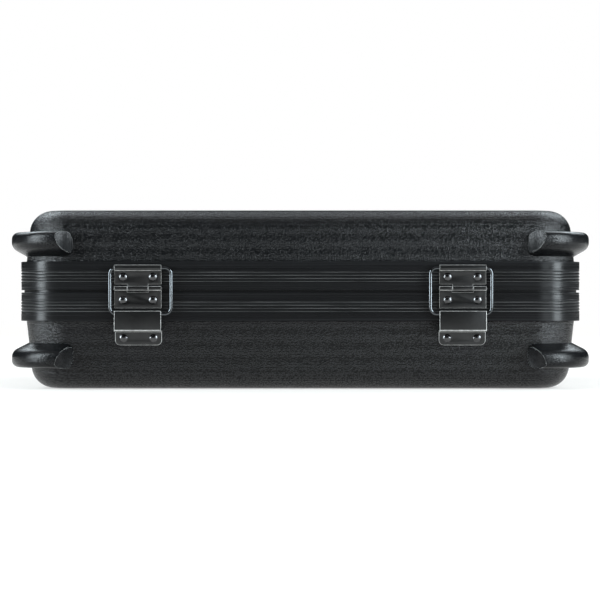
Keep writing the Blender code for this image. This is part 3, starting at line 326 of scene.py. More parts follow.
# Each lamp's name, azimuth and elevation in degrees, distance, (width, height) and brightness setting
SOFT_BOXES = (
    ("left_soft_box", -65, 13, 1.45, (0.40, 1.20), "side_light"),
    ("right_soft_box", 60, 13, 1.45, (0.40, 1.20), "side_light"),
    ("near_right_soft_box", 36, 12, 1.6, (0.45, 0.9), "near_light"),
    ("overhead_soft_box", 180, 66, 1.5, (1.4, 0.7), "top_light"),
    ("catch_side_left_soft_box", -138, 38, 1.7, (0.8, 0.6), "fill_light"),
    ("catch_side_right_soft_box", 138, 38, 1.7, (0.8, 0.6), "fill_light"),
)


GROUPS = {
    "case_shell": ShellSizes,
    "case_fin": FinSizes,
    "case_valance": ValanceSizes,
    "case_hardware": HardwareSizes,
    "case_catch": CatchSizes,
    "case_handle": HandleSizes,
    "case_foam": FoamSizes,
    "case_colours": Colours,
    "case_stage": StageSizes,
}


def sizes(group):
    """One group of the scene's settings."""
    return getattr(bpy.context.scene, "case_" + group)


def joint_place(name):
    """Where a joint of the frame has its axis."""
    for joint in frame["joints"]:
        if joint["name"] == name:
            return Vector(joint["pos_m"])
    raise ValueError("no joint " + name)


def at(side, x, out, z):
    """A point given by its height and by how far it stands out from the valance's front or back face."""
    return Vector((x, side * (HALF_DEPTH + out), z))


def arc(centre, radius, start, end, steps):
    """Points round a centre from one angle in degrees to another."""
    points = []
    for i in range(steps + 1):
        angle = math.radians(start + (end - start) * i / steps)
        points.append((centre[0] + radius * math.cos(angle), centre[1] + radius * math.sin(angle)))
    return points


def object_mode():
    """Leaves edit mode, if it is on, and deselects every piece."""
    if bpy.context.mode != "OBJECT":
        bpy.ops.object.mode_set(mode="OBJECT")
    bpy.ops.object.select_all(action="DESELECT")


def alone(piece):
    """Makes a piece the only one selected, and the active one."""
    object_mode()
    piece.select_set(True)
    bpy.context.view_layer.objects.active = piece


def begin(name):
    """Names the primitive just added and opens it for editing, all of it selected."""
    piece = bpy.context.object
    piece.name = name
    piece.data.name = name
    bpy.ops.object.transform_apply(location=True, rotation=True, scale=True)
    edit(piece)
    bpy.ops.mesh.select_all(action="SELECT")
    return piece


def edit(piece):
    """Opens a piece for editing with nothing selected."""
    alone(piece)
    bpy.ops.object.mode_set(mode="EDIT")
    bpy.ops.mesh.select_mode(type="VERT")
    bpy.ops.mesh.select_all(action="DESELECT")


def pick(kind, test):
    """Selects the verts, edges or faces that pass a test, and nothing else."""
    bpy.ops.mesh.select_mode(type={"verts": "VERT", "edges": "EDGE", "faces": "FACE"}[kind])
    bpy.ops.mesh.select_all(action="DESELECT")
    mesh = bpy.context.edit_object.data
    bm = bmesh.from_edit_mesh(mesh)
    for item in getattr(bm, kind):
        item.select = test(item)
    bm.select_flush_mode()
    bmesh.update_edit_mesh(mesh)


def push(step):
    """Extrudes what is selected by a step."""
    bpy.ops.mesh.extrude_region_move(TRANSFORM_OT_translate={"value": step})


def trace(name, points, closed=True):
    """Draws an outline by extruding one vertex from point to point. It is left selected."""
    object_mode()
    bpy.ops.mesh.primitive_plane_add(size=GAP)
    piece = begin(name)
    bpy.ops.mesh.merge(type="CENTER")
    points = [Vector(point) for point in points]
    bpy.ops.transform.translate(value=points[0])
    for before, after in zip(points, points[1:]):
        push(after - before)
    if closed:
        pick("verts", lambda vert: len(vert.link_edges) == 1)
        bpy.ops.mesh.edge_face_add()
    bpy.ops.mesh.select_all(action="SELECT")
    return piece


def cap_ends():
    """Closes every open end of the mesh being edited with a face."""
    bpy.ops.mesh.select_mode(type="EDGE")
    while True:
        bm = bmesh.from_edit_mesh(bpy.context.edit_object.data)
        start = next((edge for edge in bm.edges if edge.is_boundary), None)
        if start is None:
            return
        ring = {start}
        grown = [start]
        while grown:
            edge = grown.pop()
            for vert in edge.verts:
                for other in vert.link_edges:
                    if other.is_boundary and other not in ring:
                        ring.add(other)
                        grown.append(other)
        bm.edges.index_update()
        places = {edge.index for edge in ring}
        pick("edges", lambda edge: edge.index in places)
        bpy.ops.mesh.edge_face_add()


def seal():
    """Merges what meets, turns every face outwards and leaves edit mode."""
    bpy.ops.mesh.select_mode(type="VERT")
    bpy.ops.mesh.select_all(action="SELECT")
    bpy.ops.mesh.remove_doubles(threshold=MERGE)
    bpy.ops.mesh.normals_make_consistent(inside=False)
    bpy.ops.object.mode_set(mode="OBJECT")


def apply(piece, kind, **values):
    """Adds a modifier, sets it and applies it."""
    modifier = piece.modifiers.new(kind.lower(), kind)
    for name, value in values.items():
        setattr(modifier, name, value)
    alone(piece)
    bpy.ops.object.modifier_apply(modifier=modifier.name)


def join_or_cut(piece, others, operation):
    """Joins other solids to a piece, or cuts them away, and removes them."""
    for other in others:
        apply(piece, "BOOLEAN", operation=operation, solver="EXACT", object=other, material_mode="TRANSFER")
        bpy.data.objects.remove(other)


def weld(piece, *others):
    """Makes other solids one with a piece."""
    join_or_cut(piece, others, "UNION")


def cut(piece, *others):
    """Cuts other solids out of a piece."""
    join_or_cut(piece, others, "DIFFERENCE")


def block(low, high, rounding=0.0, name="block", segments=3):
    """A block between two corners, with its edges rounded if asked."""
    low, high = Vector(map(min, low, high)), Vector(map(max, low, high))
    object_mode()
    bpy.ops.mesh.primitive_cube_add(size=1, location=(low + high) / 2, scale=high - low)
    piece = begin(name)
    if rounding:
        bpy.ops.mesh.bevel(offset=rounding, segments=segments, affect="EDGES")
    bpy.ops.object.mode_set(mode="OBJECT")
    return piece


def about(middle, half):
    """The two limits of a stretch about its middle."""
    return middle - half, middle + half


def front_block(across, out, height, rounding=0.0, name="block", segments=3):
    """A block on the case's front face, from its limits across, outwards and in height."""
    low, high = (at(FRONT, *corner) for corner in zip(across, out, height))
    return block(low, high, rounding, name, segments)


def run_along(edge, axis):
    """How far an edge runs along x, y or z."""
    return abs(getattr(edge.verts[0].co - edge.verts[1].co, axis))


def bevel_edges(piece, test, width, segments=CORNER_SEGMENTS):
    """Rounds the edges of a piece that pass a test."""
    edit(piece)
    pick("edges", test)
    bpy.ops.mesh.bevel(offset=width, segments=segments, affect="EDGES")
    bpy.ops.object.mode_set(mode="OBJECT")


def round_foot(piece, limit, tilt, radius):
    """Rounds a sheet's lower corners: edges through its thickness, within a tilt and under a height."""
    bevel_edges(piece, lambda edge: max(vert.co.z for vert in edge.verts) < limit
                and run_along(edge, "x") < GAP and run_along(edge, "z") < tilt, radius)


def round_off(piece, width, segments=3, limit=30, worn_and_highlit=True):
    """Rounds the sharp edges of a pressed or moulded piece. Unless told not to, the rounds take the second
    finish, which is wear and a painted highlight.
    """
    apply(piece, "BEVEL", width=width, segments=segments, limit_method="ANGLE",
          angle_limit=math.radians(limit), use_clamp_overlap=True, material=1 if worn_and_highlit else -1)


def smooth(piece, angle=SMOOTH_ANGLE):
    """Shades a piece smooth up to its sharp edges."""
    alone(piece)
    bpy.ops.object.shade_smooth_by_angle(angle=angle)


def dress(piece, *finishes):
    """Gives a piece its finishes."""
    piece.data.materials.clear()
    for finish in finishes:
        piece.data.materials.append(finish)


def place(piece, body, slot_name, *nodes):
    """Ties a finished piece to its body and hides the nodes that it stands for. The slot name is not used.
    """
    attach(piece, body)
    if nodes:
        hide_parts(*nodes)


def copied(piece, name, matrix):
    """A copy with its own mesh, moved by a matrix."""
    made = piece.copy()
    made.data = piece.data.copy()
    made.name = name
    made.data.name = name
    bpy.context.scene.collection.objects.link(made)
    made.data.transform(matrix)
    if matrix.determinant() < 0:
        made.data.flip_normals()
    return made


def add_node(tree, kind, feeds=None, **fields):
    """Adds a node with its fields set and its sockets linked or filled."""
    made = tree.nodes.new(kind)
    for field, value in fields.items():
        setattr(made, field, value)
    for socket, value in (feeds or {}).items():
        if isinstance(value, bpy.types.NodeSocket):
            tree.links.new(value, made.inputs[socket])
        else:
            made.inputs[socket].default_value = value
    return made


class Finish:
    """A node-based finish. Its patterns read the piece's own Object coordinates."""

    def __init__(self, name, tint, roughness, metallic=0.0, specular=0.5):
        self.made = bpy.data.materials.new(name)
        self.made.use_nodes = True
        self.tree = self.made.node_tree
        self.shader = self.tree.nodes["Principled BSDF"]
        self.tint = Vector(tint)
        for socket, value in (("Base Color", (*tint, 1.0)), ("Roughness", roughness),
                              ("Metallic", metallic), ("Specular IOR Level", specular)):
            self.shader.inputs[socket].default_value = value
        self.place = self.node("ShaderNodeTexCoord").outputs["Object"]

    def node(self, kind, feeds=None, **fields):
        """Adds a node to the finish."""
        return add_node(self.tree, kind, feeds, **fields)

    def stretched(self, scale):
        """The piece's coordinates, scaled along each axis."""
        return self.node("ShaderNodeMapping", {"Vector": self.place, "Scale": scale}).outputs["Vector"]

    def noise(self, scale, detail=2.0, where=None):
        """Soft noise from 0 to 1."""
        feeds = {"Vector": where or self.place, "Scale": scale, "Detail": detail}
        return self.node("ShaderNodeTexNoise", feeds).outputs["Fac"]

    def cells(self, pitch, feature="SMOOTH_F1", softness=0.4, where=None, scatter=1.0):
        """Irregular cells of a given pitch: distance from a cell's middle, and a chance value for each."""
        feeds = {"Vector": where or self.place, "Scale": 1 / pitch}
        made = self.node("ShaderNodeTexVoronoi", feeds, feature=feature)
        made.inputs["Randomness"].default_value = scatter
        if feature == "SMOOTH_F1":
            made.inputs["Smoothness"].default_value = softness
        chance = self.node("ShaderNodeSeparateColor", {"Color": made.outputs["Color"]}).outputs["Red"]
        return made.outputs["Distance"], chance

    def shaken(self, scale, reach):
        """The piece's coordinates, pushed about by noise."""
        noise = self.node("ShaderNodeTexNoise", {"Vector": self.place, "Scale": scale})
        centred = self.node("ShaderNodeVectorMath", {0: noise.outputs["Color"], 1: (0.5, 0.5, 0.5)},
                            operation="SUBTRACT")
        feeds = {0: centred.outputs[0], "Scale": reach}
        scaled = self.node("ShaderNodeVectorMath", feeds, operation="SCALE")
        moved = self.node("ShaderNodeVectorMath", {0: self.place, 1: scaled.outputs[0]}, operation="ADD")
        return moved.outputs[0]

    def between(self, value, low=0.0, high=1.0, start=0.0, end=1.0):
        """A value carried from one range to another, with soft ends."""
        feeds = {"Value": value, "From Min": start, "From Max": end, "To Min": low, "To Max": high}
        return self.node("ShaderNodeMapRange", feeds, interpolation_type="SMOOTHSTEP").outputs["Result"]

    def product(self, first, second):
        """Two values multiplied."""
        return self.node("ShaderNodeMath", {0: first, 1: second}, operation="MULTIPLY").outputs[0]

    def tinted(self, value, low, high):
        """Varies the colour between two multiples of the finish's own."""
        mix = self.node("ShaderNodeMix", {"Factor": value}, data_type="RGBA")
        colours = [socket for socket in mix.inputs if socket.type == "RGBA"]
        colours[0].default_value = (*(self.tint * low), 1.0)
        colours[1].default_value = (*(self.tint * high), 1.0)
        result = next(socket for socket in mix.outputs if socket.type == "RGBA")
        self.tree.links.new(result, self.shader.inputs["Base Color"])

    def rough(self, value):
        """Links a value to the roughness."""
        self.tree.links.new(value, self.shader.inputs["Roughness"])

    def shine(self, value):
        """Links a value to the strength of the reflections."""
        self.tree.links.new(value, self.shader.inputs["Specular IOR Level"])

    def bump(self, height, distance, under=None):
        """Raises the surface by a height pattern, over another bump if given."""
        feeds = {"Height": height, "Distance": distance}
        if under:
            feeds["Normal"] = under
        normal = self.node("ShaderNodeBump", feeds).outputs["Normal"]
        self.tree.links.new(normal, self.shader.inputs["Normal"])
        return normal


def made_once(name):
    """Lets a function make the finish of a name only while the file has none."""
    def wrap(make):
        return lambda: bpy.data.materials.get(name) or make(name)
    return wrap


def pebbled(name, pitch, height, gloss, shine):
    """Black plastic moulded with a pebble grain: soft glossy mounds between hollows painted darker and less
    reflective, as shade.
    """
    finish = Finish(name, sizes("colours").plastic, roughness=0.28, specular=0.32)
    where = finish.shaken(scale=480, reach=0.0003)
    middle, chance = finish.cells(pitch, softness=0.15, where=where, scatter=0.6)
    mound = finish.between(middle, low=1.0, high=0.0, start=0.12, end=0.80)
    pores = finish.bump(finish.noise(scale=2600, detail=1.0), distance=0.00004)
    raised = finish.product(mound, finish.between(chance, low=0.85, high=1.15))
    finish.bump(raised, distance=height, under=pores)
    finish.rough(finish.between(mound, *gloss))
    # Painted shade: the hollows reflect less, as if shaded
    finish.shine(finish.between(mound, *shine))
    broad = finish.noise(scale=14, detail=3.0)
    # Painted shade: the hollows are darker in colour, with random broad changes of tone
    finish.tinted(finish.product(mound, broad), low=0.72, high=1.55)
    return finish.made


@made_once("pebbled_black_plastic")
def pebbled_plastic(name):
    """The plastic of the shells."""
    shell = sizes("shell")
    return pebbled(name, shell.grain_pitch, shell.grain_height, gloss=(0.27, 0.15), shine=(0.15, 0.48))


@made_once("fine_grained_plastic")
def fine_plastic(name):
    """The shells' plastic with the finer grain of the bumper fins."""
    fin = sizes("fin")
    return pebbled(name, fin.grain_pitch, fin.grain_height, gloss=(0.27, 0.20), shine=(0.12, 0.27))


@made_once("scuffed_plastic")
def scuffed_plastic(name):
    """Plastic scuffed grey along its ridges, and painted light there as their highlight."""
    finish = Finish(name, sizes("colours").scuff, roughness=0.5, specular=0.3)
    rub = finish.noise(scale=420, detail=3.0)
    finish.tinted(finish.between(rub, start=0.35, end=0.65), low=0.75, high=1.3)
    finish.bump(rub, distance=0.00002)
    return finish.made


@made_once("drawn_black_anodising")
def drawn_anodising(name):
    """Black anodised aluminium with the fine lines of its drawing die along each band."""
    finish = Finish(name, sizes("colours").anodising, roughness=0.28, specular=0.17)
    lines = finish.noise(scale=1.0, where=finish.stretched((5.0, 5.0, 2600.0)))
    broad = finish.noise(scale=1.0, where=finish.stretched((3.0, 3.0, 520.0)))
    finish.bump(lines, distance=0.000022)
    finish.rough(finish.between(finish.product(lines, broad), low=0.22, high=0.36, start=0.1, end=0.5))
    finish.tinted(broad, low=0.6, high=1.9)
    return finish.made


@made_once("rubbed_black_anodising")
def rubbed_anodising(name):
    """The lower lips of the valances' grooves, which face up, painted lighter as a highlight that varies
    along their length.
    """
    finish = Finish(name, sizes("colours").rubbed, roughness=0.30, specular=0.24)
    rub = finish.noise(scale=1.0, detail=3.0, where=finish.stretched((18.0, 18.0, 240.0)))
    finish.tinted(finish.between(rub, start=0.3, end=0.7), low=0.45, high=1.5)
    finish.rough(finish.between(rub, low=0.24, high=0.38))
    return finish.made


@made_once("black_plated_steel")
def plated_sheet(name):
    """Black plated steel sheet with the faint grain of its rolling."""
    finish = Finish(name, sizes("colours").plating, roughness=0.34, metallic=1.0)
    grain = finish.noise(scale=1.0, where=finish.stretched((260.0, 900.0, 2400.0)))
    finish.bump(grain, distance=0.000012)
    finish.rough(finish.between(grain, low=0.27, high=0.43))
    finish.tinted(finish.noise(scale=70, detail=3.0), low=0.75, high=1.35)
    return finish.made


@made_once("worn_plated_edge")
def worn_edge(name):
    """The rounded edges of plated steel, where the plating is thin and bright, painted lighter also as
    their highlight; it also paints the highlight lines along knuckles, curls and bends.
    """
    finish = Finish(name, sizes("colours").edge, roughness=0.45, metallic=0.5)
    rub = finish.noise(scale=340, detail=3.0)
    finish.tinted(finish.between(rub, start=0.3, end=0.7), low=0.72, high=1.25)
    finish.rough(finish.between(rub, low=0.38, high=0.55))
    return finish.made


def polished(name, tint, roughness, marks):
    """A polished plated finish with fine handling marks."""
    finish = Finish(name, tint, roughness, metallic=1.0)
    rub = finish.noise(marks, detail=3.0)
    finish.rough(finish.between(rub, low=roughness * 0.8, high=roughness * 1.35))
    finish.tinted(rub, low=0.85, high=1.2)
    finish.bump(finish.noise(marks * 4, detail=1.0), distance=0.000006)
    return finish.made


@made_once("polished_black_nickel")
def rivet_finish(name):
    """The black nickel of the rivets and of the pins' heads."""
    return polished(name, sizes("colours").rivet, roughness=0.23, marks=500)


@made_once("plated_wire")
def wire_finish(name):
    """The bright plating of the stay loops."""
    return polished(name, sizes("colours").wire, roughness=0.11, marks=300)


@made_once("bright_zinc")
def zinc_finish(name):
    """The zinc of the straps and springs."""
    return polished(name, sizes("colours").zinc, roughness=0.30, marks=600)


@made_once("satin_grip_plastic")
def satin_grip(name):
    """Satin black plastic with a fine spark texture."""
    finish = Finish(name, sizes("colours").grip, roughness=0.44, specular=0.4)
    spark = finish.noise(scale=1900)
    finish.bump(spark, distance=0.00008)
    finish.rough(finish.between(spark, low=0.38, high=0.54))
    finish.tinted(finish.noise(scale=30), low=0.8, high=1.3)
    return finish.made


@made_once("open_cell_foam")
def open_foam(name):
    """Charcoal foam with open cells on its cut faces, their hollows painted darker as shade."""
    finish = Finish(name, sizes("colours").foam, roughness=0.95, specular=0.12)
    cell = sizes("foam").cell
    where = finish.shaken(scale=300, reach=0.0006)
    large = finish.between(finish.cells(cell, where=where)[0], start=0.05, end=0.6)
    small = finish.between(finish.cells(cell * 0.42, "F1", where=where)[0], start=0.0, end=0.7)
    low = finish.bump(small, distance=0.00025)
    finish.bump(large, distance=0.0005, under=low)
    broad = finish.noise(scale=24, detail=3.0)
    # Painted shade: the cells' hollows are darker, with random broad changes of tone
    finish.tinted(finish.product(finish.product(large, small), broad), low=0.45, high=2.1)
    finish.shader.inputs["Sheen Weight"].default_value = 0.12
    finish.shader.inputs["Sheen Roughness"].default_value = 0.5
    return finish.made


def plan_point(signs, inset, angle, run=0.0):
    """A point of the case's plan near one corner. Angle 0 faces front or back; a run leads away from it."""
    radius = sizes("shell").corner_radius
    x = HALF_WIDTH - radius + (radius - inset) * math.sin(angle) - run
    y = HALF_DEPTH - radius + (radius - inset) * math.cos(angle)
    return signs[0] * x, signs[1] * y


def carry_round(gap=0.0):
    """Carries the selected outline once round the case, from the middle of the front and back to it."""
    shell = sizes("shell")
    x, y = HALF_WIDTH - shell.corner_radius, HALF_DEPTH - shell.corner_radius
    corners = ((x, y), (x, -y), (-x, -y), (-x, y))
    runs = ((x - gap / 2, 0), (0, -2 * y), (-2 * x, 0), (0, 2 * y))
    for run, corner in zip(runs, corners):
        push((*run, 0))
        bpy.ops.mesh.spin(steps=shell.corner_steps, angle=math.pi / 2, center=(*corner, 0), axis=(0, 0, 1))
    push((x - gap / 2, 0, 0))


def shell_inset(z):
    """How far the shell's outer face stands in from the valance's outer face at a height."""
    shell = sizes("shell")
    beyond = max(z - LID_BAND_EDGE, BASE_BAND_EDGE - z, 0)
    return shell.inset + math.tan(shell.draft) * beyond


def edge_levels(upward, depth, gap=0.0):
    """(inset, height) points round a shell's edge, from its flat face to its side, at a depth inside."""
    shell = sizes("shell")
    side = 1 if upward else -1
    middle_z = (CASE_TOP if upward else 0.0) - side * shell.edge_radius
    side_z = middle_z + side * shell.edge_radius * math.sin(shell.draft)
    middle_inset = shell_inset(side_z) + shell.edge_radius * math.cos(shell.draft) + gap
    rounding = arc((middle_inset, 0), shell.edge_radius - depth, 90, 180 - math.degrees(shell.draft),
                   shell.edge_steps)
    return [(inset, middle_z + side * rise) for inset, rise in rounding]


def wall_levels(upward, depth, rim):
    """(inset, height) points down a shell's wall, from its flat face to a rim, at a depth inside it."""
    inset = sizes("shell").inset + depth
    band_edge = LID_BAND_EDGE if upward else BASE_BAND_EDGE
    return edge_levels(upward, depth) + [(inset, band_edge), (inset, rim)]


def carried_solid(name, levels):
    """A solid carried round the case from (inset, height) points, its open ends closed flat."""
    piece = trace(name, [(0, HALF_DEPTH - inset, z) for inset, z in levels], closed=False)
    carry_round()
    bpy.ops.mesh.select_all(action="SELECT")
    bpy.ops.mesh.remove_doubles(threshold=MERGE)
    cap_ends()
    seal()
    return piece


def fin_section(start, side):
    """(proud, height, share of the fin's height) points round a fin's section, from the near root."""
    fin = sizes("fin")
    slant_steps, heel_steps, nose_steps = 5, 9, 10
    root, far = -shell_inset(start), -shell_inset(start + side * fin.height)
    lean = math.atan2(fin.proud - root, fin.slant)
    back = fin.heel * math.tan(lean / 2)
    slant_end = (fin.proud - back * math.sin(lean), fin.slant - back * math.cos(lean))
    nose = (fin.proud - fin.nose, fin.height - fin.nose)
    outline = [(root - fin.sunk, 0.0), (root, 0.0)]
    outline += [(root + (slant_end[0] - root) * i / slant_steps, slant_end[1] * i / slant_steps)
                for i in range(1, slant_steps)]
    outline += arc((fin.proud - fin.heel, fin.slant + back), fin.heel, -math.degrees(lean), 0, heel_steps)
    outline += arc(nose, fin.nose, 0, 90, nose_steps)
    outline += [((nose[0] + far) / 2, fin.height), (far - fin.sunk, fin.height)]
    return [(proud, start + side * rise, rise / fin.height) for proud, rise in outline]


def skin(name, loops):
    """A closed solid through a row of loops, in mesh code, because its ends melt into a curved wall."""
    bm = bmesh.new()
    rows = [[bm.verts.new(point) for point in loop] for loop in loops]
    for first, second in zip(rows, rows[1:]):
        for i, vert in enumerate(first):
            j = (i + 1) % len(first)
            bm.faces.new((vert, first[j], second[j], second[i]))
    bm.faces.new(rows[0])
    bm.faces.new(rows[-1])
    bmesh.ops.remove_doubles(bm, verts=bm.verts, dist=3 * MERGE)
    bmesh.ops.dissolve_degenerate(bm, edges=bm.edges, dist=2 * MERGE)
    bmesh.ops.recalc_face_normals(bm, faces=bm.faces)
    mesh = bpy.data.meshes.new(name)
    bm.to_mesh(mesh)
    bm.free()
    piece = bpy.data.objects.new(name, mesh)
    bpy.context.scene.collection.objects.link(piece)
    return piece


def bumper_fin(name, start, side):
    """One fin round the front right corner: a swept bar whose two ends ramp down to the wall."""
    fin = sizes("fin")
    outer = sizes("shell").corner_radius + fin.proud
    section = fin_section(start, side)
    middle = start + side * fin.height / 2
    foot = fin.end_step - shell_inset(middle)
    # The ramp's steps crowd towards the ridge by this power
    ramp_steps, sweep_steps, crowding = 16, 18, 1.5

    def ridge(rise_share):
        """The angle at which the outer face ends, at a share of the fin's height."""
        return fin.ridge_near + (fin.ridge_far - fin.ridge_near) * rise_share

    def ramp(t, sunk=0.0):
        """A section part of the way down the ramp, as plan points: t is 0 at the ridge and 1 at the end."""
        loop = []
        for proud, z, rise_share in section:
            total = outer * ridge(rise_share) + fin.reach
            run = total * t
            slope = (fin.proud - foot) / total
            past = max(run - (total - fin.end_round), 0) / fin.end_round
            swell = 1 - (1 - fin.end_height) * (1 - math.sqrt(max(1 - past * past, 0)))
            held = min(proud, fin.proud - slope * run) - sunk
            angle = max(ridge(rise_share) - run / outer, 0)
            straight = max(run - outer * ridge(rise_share), 0)
            x, y = plan_point((1, 1), -held, angle, straight)
            loop.append((x, y, middle + (z - middle) * swell))
        return loop

    def mirrored(loop):
        """The same section at the fin's other end, mirrored in the plan's diagonal."""
        shift = HALF_WIDTH - HALF_DEPTH
        return [(y + shift, x - shift, z) for x, y, z in loop]

    ends = [ramp((i / ramp_steps) ** crowding) for i in range(ramp_steps + 1)] + [ramp(1.0, fin.sunk)]
    loops = ends[::-1]
    for i in range(1, sweep_steps):
        loop = []
        for proud, z, rise_share in section:
            near = ridge(rise_share)
            angle = near + (math.pi / 2 - 2 * near) * i / sweep_steps
            loop.append((*plan_point((1, 1), -proud, angle), z))
        loops.append(loop)
    loops += [mirrored(loop) for loop in ends]
    piece = skin(name, loops)
    # The fins' rounded ridges take the scuffed finish, which is also a painted highlight
    dress(piece, fine_plastic(), scuffed_plastic())
    round_off(piece, fin.ridge_round, segments=2, limit=21)
    return piece


def moulded_shell(name, upward):
    """A shell swept round the case, closed by its flat face inside and out, with its four fins."""
    fin = sizes("fin")
    side = 1 if upward else -1
    rim = (LID_BOTTOM if upward else BASE_TOP) + side * (sizes("valance").web + GAP)
    outside, inside = (wall_levels(upward, depth, rim) for depth in (0, sizes("shell").wall))
    piece = carried_solid(name, outside + inside[::-1])
    dress(piece, pebbled_plastic())
    start = (LID_BOTTOM + BASE_TOP) / 2 + (fin.lid_rise if upward else -fin.base_drop)
    first = bumper_fin(name + "_fin", start, side)
    fins = [first] + [copied(first, name + "_fin", Matrix.Diagonal((*signs, 1, 1)))
                      for signs in ((1, -1), (-1, -1), (-1, 1))]
    weld(piece, *fins)
    return piece


def valance_section(upward):
    """(inset, distance from the parting face) points round a valance's section."""
    size = sizes("valance")
    shell = sizes("shell")
    inner = shell.inset + shell.wall + GAP + size.inner_flange
    # The lid has a groove and the base a tongue for it
    play = size.tongue_play if upward else 0
    rise = size.tongue_tip + GAP if upward else -PARTING_GAP - size.tongue_tip
    near, far = size.tongue_inset - play, size.tongue_inset + size.tongue_width + play
    cover = shell.inset - GAP
    step, edge, top = size.band_step, size.edge, BAND_HEIGHT
    chamfer = 0.3 * edge
    points = [(step + edge, 0), (near, 0), (near, rise), (far, rise), (far, 0), (inner, 0),
              (inner, size.inner_height), (inner - size.inner_flange, size.inner_height),
              (inner - size.inner_flange, size.web), (size.flange, size.web),
              (size.flange, top - size.lip), (cover, top - size.lip), (cover, top - edge),
              (cover - edge, top), (edge, top), (chamfer, top - chamfer), (0, top - edge)]
    margin = size.groove_pitch * size.band_margin
    band_end = size.groove_start + (size.groove_count - 1) * size.groove_pitch + margin
    far_line = band_end + size.far_line
    points += [(0, far_line + step), (step, far_line), (step, band_end), (0, band_end)]
    half = size.groove_width / 2
    knee, knee_half = size.groove_depth * size.knee_depth, half * size.knee_width
    for i in reversed(range(size.groove_count)):
        middle = size.groove_start + i * size.groove_pitch
        points += [(0, middle + half), (knee, middle + knee_half), (size.groove_depth, middle),
                   (knee, middle - knee_half), (0, middle - half)]
    band_start = size.groove_start - margin
    line = size.web * size.near_line
    points += [(0, band_start), (step, band_start - step), (step, line + 2 * edge),
               (2 * step, line + edge), (2 * step, line), (step, line - edge), (step, edge)]
    return points


def ribbed_valance(name, upward):
    """An aluminium band bent round the rim, its two ends butted in the middle of the front."""
    face = LID_BOTTOM if upward else BASE_TOP
    side = 1 if upward else -1
    points = [(GAP / 2, HALF_DEPTH - inset, face + side * rise) for inset, rise in valance_section(upward)]
    piece = trace(name, points)
    carry_round(GAP)
    cap_ends()
    seal()
    return piece


class CASE_OT_stage(bpy.types.Operator):
    """Sets up the camera, the soft lamps and the pale floor"""

    bl_idname = "case.stage"
    bl_label = "Stage"

    def execute(self, context):
        stage = sizes("stage")
        scene = context.scene
        scene.view_settings.view_transform = "Standard"
        object_mode()
        bpy.ops.object.camera_add(location=(stage.aim_x, -HALF_DEPTH - stage.distance, stage.aim_z),
                                  rotation=(math.pi / 2, 0, 0))
        camera = context.object
        camera.name = "photo_camera"
        camera.data.lens = stage.lens
        camera.data.sensor_width = stage.sensor
        camera.data.clip_start = stage.near_clip
        scene.camera = camera
        middle = Vector((0, 0, CASE_TOP / 2))
        for name, azimuth, elevation, distance, face, light in SOFT_BOXES:
            soft_box(name, middle, azimuth, elevation, distance, face, getattr(stage, light))
        black_cloth(stage)
        surroundings(stage)
        pale_floor(stage)
        return {"FINISHED"}


def soft_box(name, aim, azimuth, elevation, distance, face, brightness):
    """A rectangular lamp that faces a point. Azimuth 0 is the camera's side, positive to the right."""
    a, e = math.radians(azimuth), math.radians(elevation)
    back = Vector((math.sin(a) * math.cos(e), -math.cos(a) * math.cos(e), math.sin(e)))
    bpy.ops.object.light_add(type="AREA", location=aim + back * distance)
    lamp = bpy.context.object
    lamp.name = name
    lamp.rotation_euler = back.to_track_quat("Z", "Y").to_euler()
    lamp.data.shape = "RECTANGLE"
    lamp.data.size, lamp.data.size_y = face
    lamp.data.energy = brightness * math.pi * face[0] * face[1]
    lamp.data.color = sizes("colours").lamp
    lamp.visible_camera = False


def black_cloth(stage):
    """A black cloth hung all round the set, which the case mirrors between the lamps, as in a studio."""
    object_mode()
    bpy.ops.mesh.primitive_cylinder_add(vertices=64, radius=stage.cloth_radius, depth=stage.cloth_height,
                                        end_fill_type="NOTHING", location=(0, 0, stage.cloth_height / 2))
    cloth = bpy.context.object
    cloth.name = "black_cloth"
    black = bpy.data.materials.new("black_cloth")
    black.use_nodes = True
    shader = black.node_tree.nodes["Principled BSDF"]
    shader.inputs["Base Color"].default_value = (0.01, 0.01, 0.01, 1)
    shader.inputs["Roughness"].default_value = 1.0
    cloth.data.materials.append(black)
    cloth.visible_camera = False
    cloth.visible_diffuse = False


def seen_rays(tree):
    """1 for camera, glossy and transmission rays, and 0 for the rest."""
    rays = add_node(tree, "ShaderNodeLightPath").outputs
    value = rays["Is Camera Ray"]
    for name in ("Is Glossy Ray", "Is Transmission Ray"):
        value = add_node(tree, "ShaderNodeMath", {0: value, 1: rays[name]}, operation="MAXIMUM").outputs[0]
    return value


def surroundings(stage):
    """A world that is seen white, darker overhead, and lights the case more softly."""
    world = bpy.data.worlds.new("pale_surroundings")
    world.use_nodes = True
    tree = world.node_tree
    background = tree.nodes["Background"]
    background.inputs["Color"].default_value = (1, 1, 1, 1)
    direction = add_node(tree, "ShaderNodeTexCoord").outputs["Generated"]
    rise = add_node(tree, "ShaderNodeSeparateXYZ", {0: direction}).outputs["Z"]
    feeds = {"Value": rise, "From Min": stage.ceiling_start, "From Max": stage.ceiling_end,
             "To Min": 1.0, "To Max": stage.ceiling}
    seen = add_node(tree, "ShaderNodeMapRange", feeds).outputs["Result"]
    feeds = {"Value": seen_rays(tree), "To Min": stage.sky, "To Max": seen}
    strength = add_node(tree, "ShaderNodeMapRange", feeds).outputs["Result"]
    tree.links.new(strength, background.inputs["Strength"])
    bpy.context.scene.world = world


